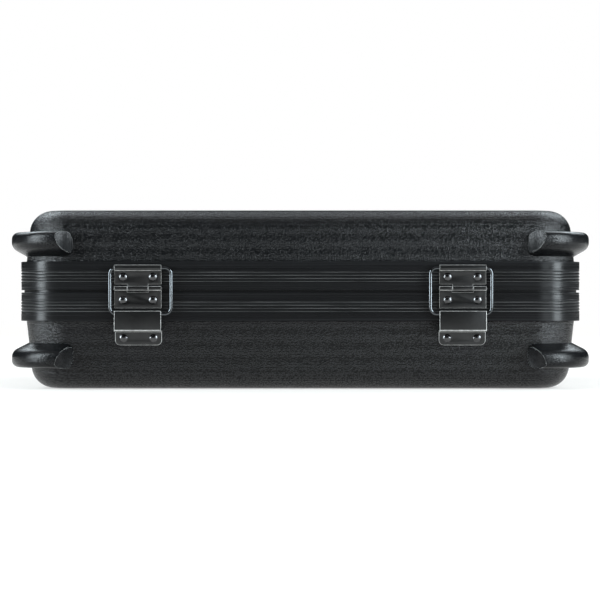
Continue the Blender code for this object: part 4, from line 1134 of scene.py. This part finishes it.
def pale_floor(stage):
    """A floor that looks nearly white and keeps the case's shadow."""
    object_mode()
    bpy.ops.mesh.primitive_plane_add(size=stage.floor_size, location=(0, 0, -stage.floor_drop))
    floor = bpy.context.object
    floor.name = "studio_floor"
    material = bpy.data.materials.new("pale_floor")
    material.use_nodes = True
    tree = material.node_tree
    tree.nodes.clear()
    lit = add_node(tree, "ShaderNodeBsdfDiffuse", {"Color": (*sizes("colours").floor, 1)}).outputs[0]
    spot = add_node(tree, "ShaderNodeTexCoord").outputs["Object"]
    away = add_node(tree, "ShaderNodeVectorMath", {0: spot}, operation="LENGTH").outputs["Value"]
    feeds = {"Value": away, "From Min": stage.near_reach, "From Max": stage.far_reach,
             "To Min": stage.near_white, "To Max": stage.far_white}
    grown = add_node(tree, "ShaderNodeMapRange", feeds, interpolation_type="SMOOTHSTEP").outputs["Result"]
    white = add_node(tree, "ShaderNodeEmission", {"Strength": grown}).outputs[0]
    whitened = add_node(tree, "ShaderNodeMixShader", {0: stage.whitening, 1: lit, 2: white}).outputs[0]
    seen = add_node(tree, "ShaderNodeMixShader", {0: seen_rays(tree), 1: lit, 2: whitened}).outputs[0]
    add_node(tree, "ShaderNodeOutputMaterial", {"Surface": seen})
    floor.data.materials.append(material)


class CASE_OT_shells(bpy.types.Operator):
    """Models the moulded lid and base shells with their fins"""

    bl_idname = "case.shells"
    bl_label = "Moulded shells"

    def execute(self, context):
        for body, upward in (("lid", True), ("base", False)):
            piece = moulded_shell(f"moulded_{body}_shell", upward)
            drill(piece, *held_to(body), *(() if upward else ("stay_keeper",)))
            smooth(piece)
            place(piece, body, "shell_plastic", body + "_shell")
        return {"FINISHED"}


def groove_lip(face):
    """Whether a face of a valance is the lower flank of a groove, which faces up and takes a painted
    highlight.
    """
    size = sizes("valance")
    from_gap = abs(face.center.z - (LID_BOTTOM + BASE_TOP) / 2) - PARTING_GAP / 2
    last = size.groove_start + (size.groove_count - 1) * size.groove_pitch
    half = size.groove_width / 2
    steep, flat = 0.5, 0.95
    return size.groove_start - half < from_gap < last + half and steep < face.normal.z < flat


class CASE_OT_valances(bpy.types.Operator):
    """Models the ribbed aluminium valances"""

    bl_idname = "case.valances"
    bl_label = "Ribbed valances"

    def execute(self, context):
        for body, upward in (("lid", True), ("base", False)):
            piece = ribbed_valance(f"ribbed_{body}_valance", upward)
            drill(piece, *held_to(body))
            dress(piece, drawn_anodising(), rubbed_anodising())
            # The grooves' upward lower lips take the second finish, a painted highlight
            rub(piece, groove_lip)
            smooth(piece, math.radians(22))
            place(piece, body, "valance_black", body + "_valance")
        return {"FINISHED"}


def bent(name, line, thickness, x, width):
    """Sheet metal of one thickness whose middle line is given as points on the YZ plane."""
    piece = trace(name, [(x - width / 2, y, z) for y, z in line], closed=False)
    push((width, 0, 0))
    seal()
    apply(piece, "SOLIDIFY", thickness=thickness, offset=0, use_even_offset=True)
    return piece


def faced(side, line):
    """Turns (out, height) points of the front or back face into points on the YZ plane."""
    return [(side * (HALF_DEPTH + out), z) for out, z in line]


def rolled(axis, start, end):
    """The middle line of a knuckle rolled round an axis given as (out, height)."""
    size = sizes("hardware")
    return arc(axis, size.knuckle_radius - size.sheet / 2, start, end, size.curl_steps)


def slot(side, x, width, low, high):
    """A block that clears sheet metal between two heights over part of the width."""
    reach = 3 * sizes("hardware").knuckle_radius
    return block(at(side, x - width / 2, -reach, low), at(side, x + width / 2, reach + GAP, high))


def span(node):
    """A frame node's middle across the case, its width, its lowest and its highest point."""
    low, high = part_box(node)
    return (low.x + high.x) / 2, high.x - low.x, low.z, high.z


def rub(piece, test):
    """Gives the faces that pass a test the second finish, a painted highlight, before the edges are
    rounded.
    """
    for face in piece.data.polygons:
        if test(face):
            face.material_index = 1


def rub_roll(piece, side, axis, radius, *ranges):
    """Paints highlight lines along a rolled knuckle, at ranges of angles in degrees above the middle of its
    front.
    """
    def test(face):
        """Whether a face is on the roll's outside and within a range."""
        out = side * face.center.y - HALF_DEPTH - axis[0]
        rise = face.center.z - axis[1]
        angle = math.degrees(math.atan2(rise, out))
        return math.hypot(out, rise) > radius - GAP and any(low < angle < high for low, high in ranges)
    rub(piece, test)


def axis_of(name, side):
    """A joint's axis as (out from the valance's face, height)."""
    spot = joint_place(name)
    return side * spot.y - HALF_DEPTH, spot.z


def spun(name, profile, steps=32):
    """A round solid about +Z from (radius, height) points that start and end on the axis."""
    piece = trace(name, [(radius, 0, z) for radius, z in profile], closed=False)
    bpy.ops.mesh.spin(steps=steps, angle=math.tau, center=(0, 0, 0), axis=(0, 0, 1))
    seal()
    return piece


def aimed(spot, direction):
    """The matrix that carries a piece from the origin to a place and turns its +Z to a direction."""
    return Matrix.Translation(spot) @ Vector(direction).to_track_quat("Z", "Y").to_matrix().to_4x4()


def lid_leaf():
    """The lid's leaf on the left: a middle knuckle below and a curl for the stay along its top."""
    size = sizes("hardware")
    x, width, _, _ = span("hinge_lid_leaf_left")
    hinge, stay = axis_of("lid_hinge", BACK), axis_of("stay_pivot_left", BACK)
    sweep = math.degrees(size.curl_sweep)
    line = rolled(hinge, 180 + sweep, 180)
    line += arc(stay, stay[0] - GAP - size.sheet / 2, 180, 180 - sweep, size.curl_steps)
    piece = bent("lid_leaf", faced(BACK, line), size.sheet, x, width)
    low = hinge[1] - 2 * size.knuckle_radius
    high = hinge[1] + size.knuckle_radius + size.notch_relief
    clear = width - size.middle_knuckle
    cut(piece, slot(BACK, x - width / 2, clear, low, high), slot(BACK, x + width / 2, clear, low, high))
    return piece


def base_leaf():
    """The base's leaf on the left, with a knuckle at each end of its top."""
    size = sizes("hardware")
    x, width, bottom, _ = span("hinge_base_leaf_left")
    hinge = axis_of("lid_hinge", BACK)
    line = [(GAP + size.sheet / 2, bottom)] + rolled(hinge, 180, 180 - math.degrees(size.curl_sweep))
    piece = bent("base_leaf", faced(BACK, line), size.sheet, x, width)
    low = hinge[1] - size.knuckle_radius - size.notch_relief / 2
    cut(piece, slot(BACK, x, size.middle_knuckle + 2 * GAP, low, hinge[1] + 2 * size.knuckle_radius))
    return piece


def bent_line(points, radius, steps=6):
    """A line whose inner corners are rounded to a radius."""
    points = [Vector(point) for point in points]
    line = [points[0]]
    for before, corner, after in zip(points, points[1:], points[2:]):
        towards, away = (before - corner).normalized(), (after - corner).normalized()
        half = towards.angle(away) / 2
        room = 0.49 * min((before - corner).length, (after - corner).length)
        back = min(radius / math.tan(half), room)
        centre = corner + (towards + away).normalized() * (back / math.cos(half))
        start, end = corner + towards * back - centre, corner + away * back - centre
        turned = (math.atan2(end.y, end.x) - math.atan2(start.y, start.x) + math.pi) % math.tau - math.pi
        line += [centre + Matrix.Rotation(turned * i / steps, 2) @ start for i in range(steps + 1)]
    return [(point.x, point.y) for point in line + [points[-1]]]


def keeper_face(z):
    """How far out the middle of the keeper's lower flange lies at a height."""
    draft = sizes("shell").draft
    return (GAP + sizes("hardware").keeper_sheet / 2) / math.cos(draft) - shell_inset(z)


def keeper_step():
    """The height of the middle of the keeper's step."""
    size = sizes("hardware")
    return span("stay_keeper_left")[3] - size.keeper_tongue - size.keeper_sheet / 2


def keeper():
    """The plate over the left stay's bottom leg: a raised tongue, a step and a riveted flange."""
    size = sizes("hardware")
    x, width, foot, top = span("stay_keeper_left")
    half, step = size.keeper_sheet / 2, keeper_step()
    line = [(size.keeper_lift + half, top), (size.keeper_lift + half, step), (keeper_face(step), step),
            (keeper_face(foot), foot + half * math.sin(sizes("shell").draft))]
    piece = bent("keeper", faced(BACK, bent_line(line, size.keeper_bend)), size.keeper_sheet, x, width)
    round_foot(piece, foot + 2 * size.keeper_sheet, tilt=GAP, radius=size.keeper_corner)
    return piece


def keeper_bend_line(face):
    """Whether a face belongs to the painted highlight lines that run along the keeper's two bends."""
    size = sizes("hardware")
    step = keeper_step()
    # Both lines look a little down, and the lower one wraps further under the sheet
    upper_limit, lower_limit, level, outward = -0.62, -0.97, -0.12, -0.2
    limit = upper_limit if face.center.z > step - size.keeper_sheet / 2 else lower_limit
    near = abs(face.center.z - step) < 3 * size.keeper_bend
    return near and limit < face.normal.z < level and face.normal.y < outward


def across_to(node):
    """The move along X from a left node to its twin on the right."""
    return Matrix.Translation((span(node + "_right")[0] - span(node + "_left")[0], 0, 0))


MIRRORED = Matrix.Diagonal((-1, 1, 1, 1))
# Painted highlight lines along the hinge's knuckles and the stay's curl, in degrees above the middle of
# their front
KNUCKLE_HIGHLIGHTS = (50, 72), (-50, -34)
CURL_HIGHLIGHTS = (-62, -44), (58, 80)


def both_hands(piece, body, slot_name, node, matrix):
    """Places a left piece, and its copy on the right, each for its own node."""
    name = piece.name
    right = copied(piece, name + "_right", matrix)
    piece.name = piece.data.name = name + "_left"
    for made, word in ((piece, "left"), (right, "right")):
        place(made, body.format(word), slot_name, f"{node}_{word}")


class CASE_OT_hinges(bpy.types.Operator):
    """Models the leaves and keepers of the pressed steel stay hinges"""

    bl_idname = "case.hinges"
    bl_label = "Stay hinges"

    def execute(self, context):
        size = sizes("hardware")
        hinge, stay = axis_of("lid_hinge", BACK), axis_of("stay_pivot_left", BACK)
        for make, body, node in ((lid_leaf, "lid", "hinge_lid_leaf"),
                                 (base_leaf, "base", "hinge_base_leaf"),
                                 (keeper, "base", "stay_keeper")):
            piece = make()
            drill(piece, node)
            dress(piece, plated_sheet(), worn_edge())
            # The keeper's bends, the knuckles and the curl get painted highlight lines, and all rounded
            # edges are worn and painted light
            if make is keeper:
                rub(piece, keeper_bend_line)
            else:
                rub_roll(piece, BACK, hinge, size.knuckle_radius, *KNUCKLE_HIGHLIGHTS)
                rub_roll(piece, BACK, stay, stay[0] - GAP, *CURL_HIGHLIGHTS)
            round_off(piece, size.edge_round)
            smooth(piece)
            both_hands(piece, body, "hardware_black", node, across_to(node))
        return {"FINISHED"}


class CASE_OT_stays(bpy.types.Operator):
    """Models the closed wire loops that hold the open lid"""

    bl_idname = "case.stays"
    bl_label = "Wire stays"

    def execute(self, context):
        size = sizes("hardware")
        low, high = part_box("stay_loop_left")
        upper = joint_place("stay_pivot_left")
        lower = Vector((upper.x, high.y - size.wire_radius, low.z + size.wire_radius))
        down = lower - upper
        object_mode()
        bpy.ops.mesh.primitive_plane_add(size=1, scale=(1, 1, 1))
        piece = begin("wire_stay")
        bpy.ops.transform.resize(value=(size.stay_width, down.length, 1))
        bpy.ops.mesh.bevel(affect="VERTICES", offset=size.wire_bend, segments=14)
        bpy.ops.mesh.delete(type="ONLY_FACE")
        bpy.ops.object.mode_set(mode="OBJECT")
        lean = Vector((0, -1, 0)).rotation_difference(down).to_matrix().to_4x4()
        piece.data.transform(Matrix.Translation((upper + lower) / 2) @ lean)
        alone(piece)
        bpy.ops.object.convert(target="CURVE")
        piece.data.bevel_depth = size.wire_radius
        piece.data.bevel_resolution = 6
        bpy.ops.object.convert(target="MESH")
        dress(piece, wire_finish())
        smooth(piece, math.radians(60))
        both_hands(piece, "stay_{}", "stay_wire", "stay_loop", across_to("stay_loop"))
        return {"FINISHED"}


def held_to(body):
    """The pieces that are riveted through a body's valance."""
    if body == "lid":
        return "hinge_lid_leaf", "hasp_plate"
    return "hinge_base_leaf", "catch_body", "handle_bracket"


RIVETS_OF = {
    "hinge_lid_leaf": "lid_leaf_rivet",
    "hinge_base_leaf": "base_leaf_rivet",
    "stay_keeper": "keeper_rivet",
    "catch_body": "catch_rivet",
    "hasp_plate": "hasp_plate_rivet",
    "handle_bracket": "bracket_rivet",
}


def rivet_lines(piece_node):
    """(node, middle, outward direction, length) of the frame's rivets that hold a piece."""
    size = sizes("hardware")
    draft = sizes("shell").draft
    lines = []
    for word in SIDES:
        for number in (1, 2):
            node = f"{RIVETS_OF[piece_node]}_{word}_{number}"
            low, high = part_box(node)
            middle = (low + high) / 2
            outward = Vector((0, math.copysign(1, middle.y), 0))
            if piece_node == "stay_keeper":
                outward = Vector((0, -math.cos(draft), -math.sin(draft)))
            lean = abs(outward.z) * (size.rivet_radius + size.rivet_tail)
            lines.append((node, middle, outward, (high.y - low.y - lean) / abs(outward.y)))
    return lines


def drill(piece, *piece_nodes):
    """Cuts the holes for the rivets of the named pieces, where they pass through this one."""
    radius = sizes("hardware").rivet_shank + GAP
    holes = []
    for piece_node in piece_nodes:
        for _, middle, outward, reach in rivet_lines(piece_node):
            hole = drill_bit(radius, reach)
            hole.data.transform(aimed(middle, outward))
            holes.append(hole)
    alone(holes[0])
    for hole in holes:
        hole.select_set(True)
    bpy.ops.object.join()
    cut(piece, holes[0])


def drill_bit(radius, reach):
    """A cylinder about +Z that cuts a round hole."""
    object_mode()
    bpy.ops.mesh.primitive_cylinder_add(vertices=20, radius=radius, depth=reach)
    bit = begin("drill_bit")
    bpy.ops.object.mode_set(mode="OBJECT")
    return bit


def domed_rivet(name, length_of):
    """A rivet of a total length that is centred on the origin, its domed head towards +Z."""
    size = sizes("hardware")
    top = length_of / 2
    under = top - size.rivet_height
    dome_height = size.rivet_height - size.rivet_edge
    cap = (size.rivet_radius ** 2 + dome_height ** 2) / (2 * dome_height)
    reach = math.degrees(math.asin(size.rivet_radius / cap))
    end, tail = -top, size.rivet_tail_height - top
    soft_end = end + 0.3 * size.rivet_tail_height
    tail_face, head_face = 0.86 * size.rivet_tail, 0.93 * size.rivet_radius
    profile = [(0, end), (tail_face, end), (size.rivet_tail, soft_end), (size.rivet_tail, tail),
               (size.rivet_shank, tail), (size.rivet_shank, under), (head_face, under),
               (size.rivet_radius, under + size.rivet_edge / 2)]
    profile += arc((0, top - cap), cap, 90 - reach, 90, 12)
    return spun(name, profile)


class CASE_OT_rivets(bpy.types.Operator):
    """Models the domed rivets and sets one at each of the frame's rivets"""

    bl_idname = "case.rivets"
    bl_label = "Rivets"

    def execute(self, context):
        patterns = {}
        for piece_node in (*held_to("lid"), *held_to("base"), "stay_keeper"):
            body = "lid" if piece_node in held_to("lid") else "base"
            for node, middle, outward, reach in rivet_lines(piece_node):
                key = round(reach, 5)
                if key not in patterns:
                    patterns[key] = domed_rivet("domed_rivet", reach)
                    dress(patterns[key], rivet_finish())
                    smooth(patterns[key], math.radians(40))
                piece = copied(patterns[key], "domed_" + node, aimed(middle, outward))
                place(piece, body, "rivet_black", node)
        for pattern in patterns.values():
            bpy.data.objects.remove(pattern)
        return {"FINISHED"}


def headed_pin(name, node, radius, head_radius, head_length):
    """A pin along X with a domed head at each end, for one of the frame's pins."""
    low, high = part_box(node)
    end = (high.x - low.x) / 2
    neck = end - head_length
    soft, flat = end - 0.45 * head_length, 0.7 * head_radius
    half = [(radius, neck), (head_radius, neck), (head_radius, soft), (flat, end), (0, end)]
    profile = [(out, -z) for out, z in half[::-1]] + half
    piece = spun(name, profile, 24)
    piece.data.transform(aimed((low + high) / 2, (1, 0, 0)))
    dress(piece, rivet_finish())
    smooth(piece)
    return piece


class CASE_OT_pins(bpy.types.Operator):
    """Models the headed pins of the hinges, hasps and handle, and finishes the straps and springs"""

    bl_idname = "case.pins"
    bl_label = "Pins, straps and springs"

    def execute(self, context):
        size = sizes("hardware")
        handle_size = sizes("handle")
        thin = size.knuckle_radius - size.sheet - GAP
        for name, node, body, radius, head in (
                ("hinge_pin", "hinge_pin", "base", thin, size.pin_head),
                ("hasp_pin", "hasp_pin", "lid", thin, size.pin_head),
                ("handle_pin", "handle_pin", "base", handle_size.pin_radius, handle_size.pin_head)):
            piece = headed_pin("domed_" + name, node + "_left", radius, head, size.pin_head_length)
            both_hands(piece, body, "bright_steel", node, across_to(node))
        for word in SIDES:
            for node in ("keeper_strap_", "catch_spring_"):
                dress(frame["nodes"][node + word], zinc_finish())
        return {"FINISHED"}


def cover_front():
    """How far out the front of a catch's cover is."""
    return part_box("catch_body_left")[1].y - HALF_DEPTH


def cover():
    """The left catch's pressed cover: riveted ears and a raised box, slotted for staple and button."""
    sheet, catch = sizes("hardware").sheet, sizes("catch")
    middle, width, foot, top = span("catch_body_left")
    hasp_x = span("hasp_left")[0]
    lift = cover_front()
    z = (foot + top) / 2
    start, end = about(middle, width / 2)
    box_start, box_end = start + catch.ear, end - catch.ear
    piece = front_block((start, end), (GAP, GAP + sheet), (foot, top), name="catch_cover")
    bevel_edges(piece, lambda edge: run_along(edge, "y") > sheet / 2, catch.ear_corner)
    raised = front_block((box_start, box_end), (GAP - sheet, lift), (foot + sheet, top - sheet),
                         catch.cover_round, "raised", 4)
    weld(piece, raised)
    inner_round = 0.4 * catch.cover_round
    hollow = front_block((box_start + sheet, box_end - sheet), (-2 * sheet, lift - sheet),
                         (foot + 2 * sheet, top - 2 * sheet), inner_round, "hollow")
    under = front_block((start - sheet, end + sheet), (-4 * sheet, GAP), (foot - sheet, top + sheet))
    through = (lift - 2 * sheet, lift + sheet)
    staple_half = catch.staple_height / 2
    staple_slot = front_block(about(hasp_x, catch.staple_width / 2 + 2 * GAP), through,
                              (z - staple_half - 2 * GAP, z + staple_half + catch.staple_play))
    knob_end = hasp_x - catch.button_start + GAP
    knob_start = knob_end - catch.button_length - catch.button_travel - 2 * GAP
    knob_slot = front_block((knob_start, knob_end), through, about(z, catch.button_height / 2 + GAP))
    cut(piece, hollow, under, staple_slot, knob_slot)
    return piece


def button():
    """The left catch's thumb button: a ribbed knob on a slider with a bolt for the staple."""
    catch = sizes("catch")
    low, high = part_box("catch_button_left")
    z, half = (low.z + high.z) / 2, catch.button_height / 2
    top = cover_front() - sizes("hardware").sheet - GAP
    floor, proud = top - catch.slider, high.y - HALF_DEPTH
    knob_end = span("hasp_left")[0] - catch.button_start
    knob_start = knob_end - catch.button_length
    margin = catch.slider_margin
    piece = front_block((knob_start - margin, knob_end + margin), (floor, top), about(z, half + margin),
                        catch.bolt_round, "thumb_button", 2)
    knob = front_block((knob_start, knob_end), (top - catch.slider / 2, proud), about(z, half),
                       catch.soft_edge, "knob")
    bolt = front_block((knob_end, high.x), about(floor + catch.slider / 2, catch.bolt / 2),
                       about(z, catch.bolt / 2), catch.bolt_round, "bolt")
    weld(piece, knob, bolt)
    ribs = int(catch.button_length / (2 * catch.button_rib))
    for i in range(1, ribs):
        groove = about(knob_start + catch.button_length * i / ribs, catch.button_rib / 4)
        cut(piece, front_block(groove, (proud - catch.button_rib / 3, 2 * proud), about(z, 2 * half)))
    return piece


def hasp_plate():
    """The left hasp's plate on the lid, with a knuckle at each end of its foot."""
    size, catch = sizes("hardware"), sizes("catch")
    x, width, _, top = span("hasp_plate_left")
    axis = axis_of("hasp_hinge_left", FRONT)
    line = [(GAP + size.sheet / 2, top)] + rolled(axis, 180, 180 + math.degrees(size.curl_sweep))
    piece = bent("hasp_plate", faced(FRONT, line), size.sheet, x, width)
    high = axis[1] + size.knuckle_radius + size.notch_relief
    cut(piece, slot(FRONT, x, catch.hasp_neck + 2 * GAP, axis[1] - 2 * size.knuckle_radius, high))
    return piece


def hasp():
    """The left flap that hangs over the catch, with a lip to lift it by and a staple on its back."""
    size, catch = sizes("hardware"), sizes("catch")
    x, width, foot, _ = span("hasp_left")
    axis = axis_of("hasp_hinge_left", FRONT)
    lift = cover_front()
    _, _, body_foot, body_top = span("catch_body_left")
    z = (body_foot + body_top) / 2
    neck = axis[0] + size.knuckle_radius - size.sheet / 2
    face = lift + GAP + size.sheet / 2
    jog = axis[1] - catch.hasp_jog
    line = [(neck, axis[1]), (neck, jog), (face, jog - (face - neck)), (face, foot + catch.hasp_lip_drop),
            (face + catch.hasp_lip, foot + GAP / 2)]
    line = rolled(axis, math.degrees(catch.hasp_curl), 0) + bent_line(line, catch.hasp_bend)[1:]
    piece = bent("hasp", faced(FRONT, line), size.sheet, x, width)
    low = axis[1] - size.knuckle_radius - size.notch_relief / 2
    high = axis[1] + 2 * size.knuckle_radius
    beside = about(x, (width + catch.hasp_neck) / 2)
    cut(piece, *[slot(FRONT, middle, width, low, high) for middle in beside])
    round_foot(piece, foot + size.sheet, tilt=0.7 * size.sheet, radius=catch.hasp_corner)
    inner = lift + GAP
    staple = front_block(about(x, catch.staple_width / 2),
                         (inner - catch.staple_depth, inner + size.sheet / 2),
                         about(z, catch.staple_height / 2), catch.soft_edge, "staple")
    weld(piece, staple)
    eye_out = lift - size.sheet - GAP - catch.slider / 2
    eye_half = catch.staple_eye / 2
    cut(piece, front_block(about(x, width), about(eye_out, eye_half), about(z, eye_half)))
    return piece


class CASE_OT_catches(bpy.types.Operator):
    """Models the spring catches on the front: covers, buttons, hasps and their plates"""

    bl_idname = "case.catches"
    bl_label = "Spring catches"

    def execute(self, context):
        for piece, body, node in ((cover(), "base", "catch_body"), (button(), "button_{}", "catch_button"),
                                  (hasp_plate(), "lid", "hasp_plate"), (hasp(), "hasp_{}", "hasp")):
            if node in RIVETS_OF:
                drill(piece, node)
            dress(piece, plated_sheet(), worn_edge())
            # The rounded edges take the worn finish, which is also a painted highlight
            round_off(piece, sizes("catch").edge_round)
            smooth(piece)
            both_hands(piece, body, "hardware_black", node, MIRRORED)
        return {"FINISHED"}


def rounded_section(name, across, deep):
    """A closed curve of a rounded rectangle on the origin, to sweep along a path."""
    object_mode()
    bpy.ops.mesh.primitive_plane_add(size=1)
    piece = begin(name)
    bpy.ops.transform.resize(value=(across, deep, 1))
    rounding = min(across, deep) * sizes("handle").grip_round
    bpy.ops.mesh.bevel(affect="VERTICES", offset=rounding, segments=8)
    bpy.ops.mesh.delete(type="ONLY_FACE")
    bpy.ops.object.mode_set(mode="OBJECT")
    bpy.ops.object.convert(target="CURVE")
    return piece


def handle_path():
    """Points along the handle's middle line, from one eye to the other, each with its thickness."""
    size = sizes("handle")
    pin = joint_place("handle_hinge")
    grip_z = pin.z - size.drop
    grip_out = size.grip_clearance + size.grip_depth / 2 - shell_inset(grip_z + size.grip_height / 2)
    pin_out = pin.y - HALF_DEPTH
    clear_z = pin.z - size.plate_height / 2
    bend_x, bend_z = size.span / 2 - size.bend, grip_z + size.bend
    steps = 14
    half = [(size.span / 2, pin.z), (size.span / 2, clear_z), (size.span / 2, (clear_z + bend_z) / 2)]
    half += arc((bend_x, bend_z), size.bend, 0, -90, steps)
    half += [(bend_x * (1 - i / steps), grip_z) for i in range(1, steps + 1)]
    slim = size.arm_depth / size.grip_depth
    points = []
    for x, z in half + [(-x, z) for x, z in half[-2::-1]]:
        lowered = min(max((clear_z - z) / (clear_z - grip_z), 0), 1)
        grown = min(max((bend_z - z) / size.bend, 0), 1)
        point = at(FRONT, x, pin_out + (grip_out - pin_out) * lowered, z)
        points.append((point, slim + (1 - slim) * grown * grown * (3 - 2 * grown)))
    return points


def carrying_handle():
    """A D of rounded section that thickens from its two eyes to its grip."""
    size = sizes("handle")
    pin = joint_place("handle_hinge")
    section = rounded_section("grip_section", size.grip_height, size.grip_depth)
    points = handle_path()
    piece = trace("carrying_handle", [point for point, _ in points], closed=False)
    bpy.ops.object.mode_set(mode="OBJECT")
    bpy.ops.object.convert(target="CURVE")
    piece.data.bevel_mode = "OBJECT"
    piece.data.bevel_object = section
    piece.data.use_fill_caps = True
    for made, (_, thickness) in zip(piece.data.splines[0].points, points):
        made.radius = thickness
    alone(piece)
    bpy.ops.object.convert(target="MESH")
    bpy.data.objects.remove(section)
    edit(piece)
    seal()
    for hand in SIDES.values():
        eye = drill_bit(size.arm_depth / 2, size.arm_width)
        bevel_edges(eye, lambda edge: run_along(edge, "z") < GAP, size.eye_round, 3)
        bore = drill_bit(size.pin_radius + GAP, 2 * size.arm_width)
        for made in (eye, bore):
            made.data.transform(aimed((hand * size.span / 2, pin.y, pin.z), (1, 0, 0)))
        weld(piece, eye)
        cut(piece, bore)
    return piece


def handle_bracket():
    """The left bracket: a riveted plate with two ears for the handle's pin."""
    size = sizes("handle")
    pin = joint_place("handle_hinge")
    x, width, foot, top = span("handle_bracket_left")
    piece = front_block(about(x, width / 2), (GAP, GAP + size.plate), (foot, top), name="handle_bracket")
    bevel_edges(piece, lambda edge: run_along(edge, "y") > size.plate / 2, size.plate_corner)
    inner = size.arm_width / 2 + GAP
    pin_out = pin.y - HALF_DEPTH
    root = GAP + size.plate / 2
    outline = [(root, pin.z - size.ear_radius)] + arc((pin_out, pin.z), size.ear_radius, -90, 90, 16)
    outline += [(root, pin.z + size.ear_radius)]
    for start in (x - inner - size.plate, x + inner):
        ear = trace("ear", [(start, y, z) for y, z in faced(FRONT, outline)])
        push((size.plate, 0, 0))
        cap_ends()
        seal()
        weld(piece, ear)
    bore = drill_bit(size.pin_radius + GAP, width)
    bore.data.transform(aimed((x, pin.y, pin.z), (1, 0, 0)))
    cut(piece, bore)
    drill(piece, "handle_bracket")
    return piece


class CASE_OT_handle(bpy.types.Operator):
    """Models the moulded carrying handle and its two steel brackets"""

    bl_idname = "case.handle"
    bl_label = "Carrying handle"

    def execute(self, context):
        grip = carrying_handle()
        dress(grip, satin_grip())
        smooth(grip, math.radians(40))
        place(grip, "handle", "grip_plastic", "handle")
        bracket = handle_bracket()
        dress(bracket, plated_sheet(), worn_edge())
        # The rounded edges take the worn finish, which is also a painted highlight
        round_off(bracket, sizes("hardware").edge_round)
        smooth(bracket)
        both_hands(bracket, "base", "hardware_black", "handle_bracket", across_to("handle_bracket"))
        return {"FINISHED"}


def foam_block(name, upward, far):
    """A foam block that follows a shell's inner face with a gap, up to a flat face at a height."""
    shell, foam = sizes("shell"), sizes("foam")
    levels = edge_levels(upward, shell.wall + GAP, foam.side_gap)
    inset, z = levels[-1]
    edge_z = far if upward else BASE_BAND_EDGE
    rim_inset = inset - math.tan(shell.draft) * abs(edge_z - z)
    levels.append((rim_inset, edge_z))
    if not upward:
        levels.append((rim_inset, far))
    return carried_solid(name, levels)


def foam_tray():
    """The foam block in the base, with the pocket that holds the processor."""
    shell, foam = sizes("shell"), sizes("foam")
    top = BASE_TOP - foam.top_drop
    floor = shell.wall + GAP + foam.pocket_floor
    piece = foam_block("foam_tray", False, top)
    width, depth = foam.pocket_width, foam.pocket_depth
    pocket = block((-width / 2, -depth / 2, floor), (width / 2, depth / 2, 2 * top - floor), name="pocket")
    bevel_edges(pocket, lambda edge: run_along(edge, "z") > GAP, foam.pocket_radius, 10)
    cut(piece, pocket)
    round_off(piece, foam.soft_edge, 5, 50, worn_and_highlit=False)
    return piece


def peaked_pad():
    """The lid's foam pad, its face cut into rounded peaks and hollows."""
    shell, foam = sizes("shell"), sizes("foam")
    face = CASE_TOP - shell.wall - GAP - foam.lid_thickness
    piece = foam_block("peaked_pad", True, face)
    low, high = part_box("lid_foam_pad")
    per_peak = 12
    across, along = ((high - low) / foam.peak_pitch * per_peak).to_2d()
    object_mode()
    bpy.ops.mesh.primitive_grid_add(x_subdivisions=int(across), y_subdivisions=int(along), size=1,
                                    location=(0, 0, face))
    waves = begin("waves")
    bpy.ops.transform.resize(value=(high.x - low.x + foam.peak_pitch, high.y - low.y + foam.peak_pitch, 1))
    push((0, 0, 2 * foam.lid_thickness))
    bpy.ops.object.mode_set(mode="OBJECT")
    for vert in waves.data.vertices:
        if vert.co.z < face + GAP:
            turn_x, turn_y = (vert.co.xy * (math.tau / foam.peak_pitch)).to_tuple()
            vert.co.z += foam.peak_height * (0.5 - math.cos(turn_x) * math.cos(turn_y) / 2)
    edit(waves)
    cap_ends()
    seal()
    join_or_cut(piece, [waves], "INTERSECT")
    return piece


class CASE_OT_foam(bpy.types.Operator):
    """Models the foam tray in the base and the peaked pad in the lid"""

    bl_idname = "case.foam"
    bl_label = "Foam lining"

    def execute(self, context):
        for piece, body, node in ((foam_tray(), "base", "base_foam_tray"),
                                  (peaked_pad(), "lid", "lid_foam_pad")):
            dress(piece, open_foam())
            smooth(piece, math.radians(50))
            place(piece, body, "foam_grey", node)
        return {"FINISHED"}


OPERATORS = (CASE_OT_stage, CASE_OT_shells, CASE_OT_valances, CASE_OT_hinges, CASE_OT_stays,
             CASE_OT_rivets, CASE_OT_pins, CASE_OT_catches, CASE_OT_handle, CASE_OT_foam)


class CASE_PT_pieces(bpy.types.Panel):
    """Lists the steps that build the case"""

    bl_idname = "CASE_PT_pieces"
    bl_label = "Effects Processor Case"
    bl_space_type = "VIEW_3D"
    bl_region_type = "UI"
    bl_category = "Case"

    def draw(self, context):
        for operator in OPERATORS:
            self.layout.operator(operator.bl_idname)


CLASSES = (*GROUPS.values(), *OPERATORS, CASE_PT_pieces)


def register():
    """Makes the groups, operators and panel known to Blender."""
    for item in CLASSES:
        bpy.utils.register_class(item)
    for name, group in GROUPS.items():
        setattr(bpy.types.Scene, name, PointerProperty(type=group))


def unregister():
    """Takes them out again."""
    for name in GROUPS:
        delattr(bpy.types.Scene, name)
    for item in reversed(CLASSES):
        bpy.utils.unregister_class(item)


def main():
    """Registers the add-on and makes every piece."""
    register()
    bpy.ops.case.stage()
    bpy.ops.case.shells()
    bpy.ops.case.valances()
    bpy.ops.case.hinges()
    bpy.ops.case.stays()
    bpy.ops.case.rivets()
    bpy.ops.case.pins()
    bpy.ops.case.catches()
    bpy.ops.case.handle()
    bpy.ops.case.foam()
    object_mode()


if __name__ == "__main__":
    main()
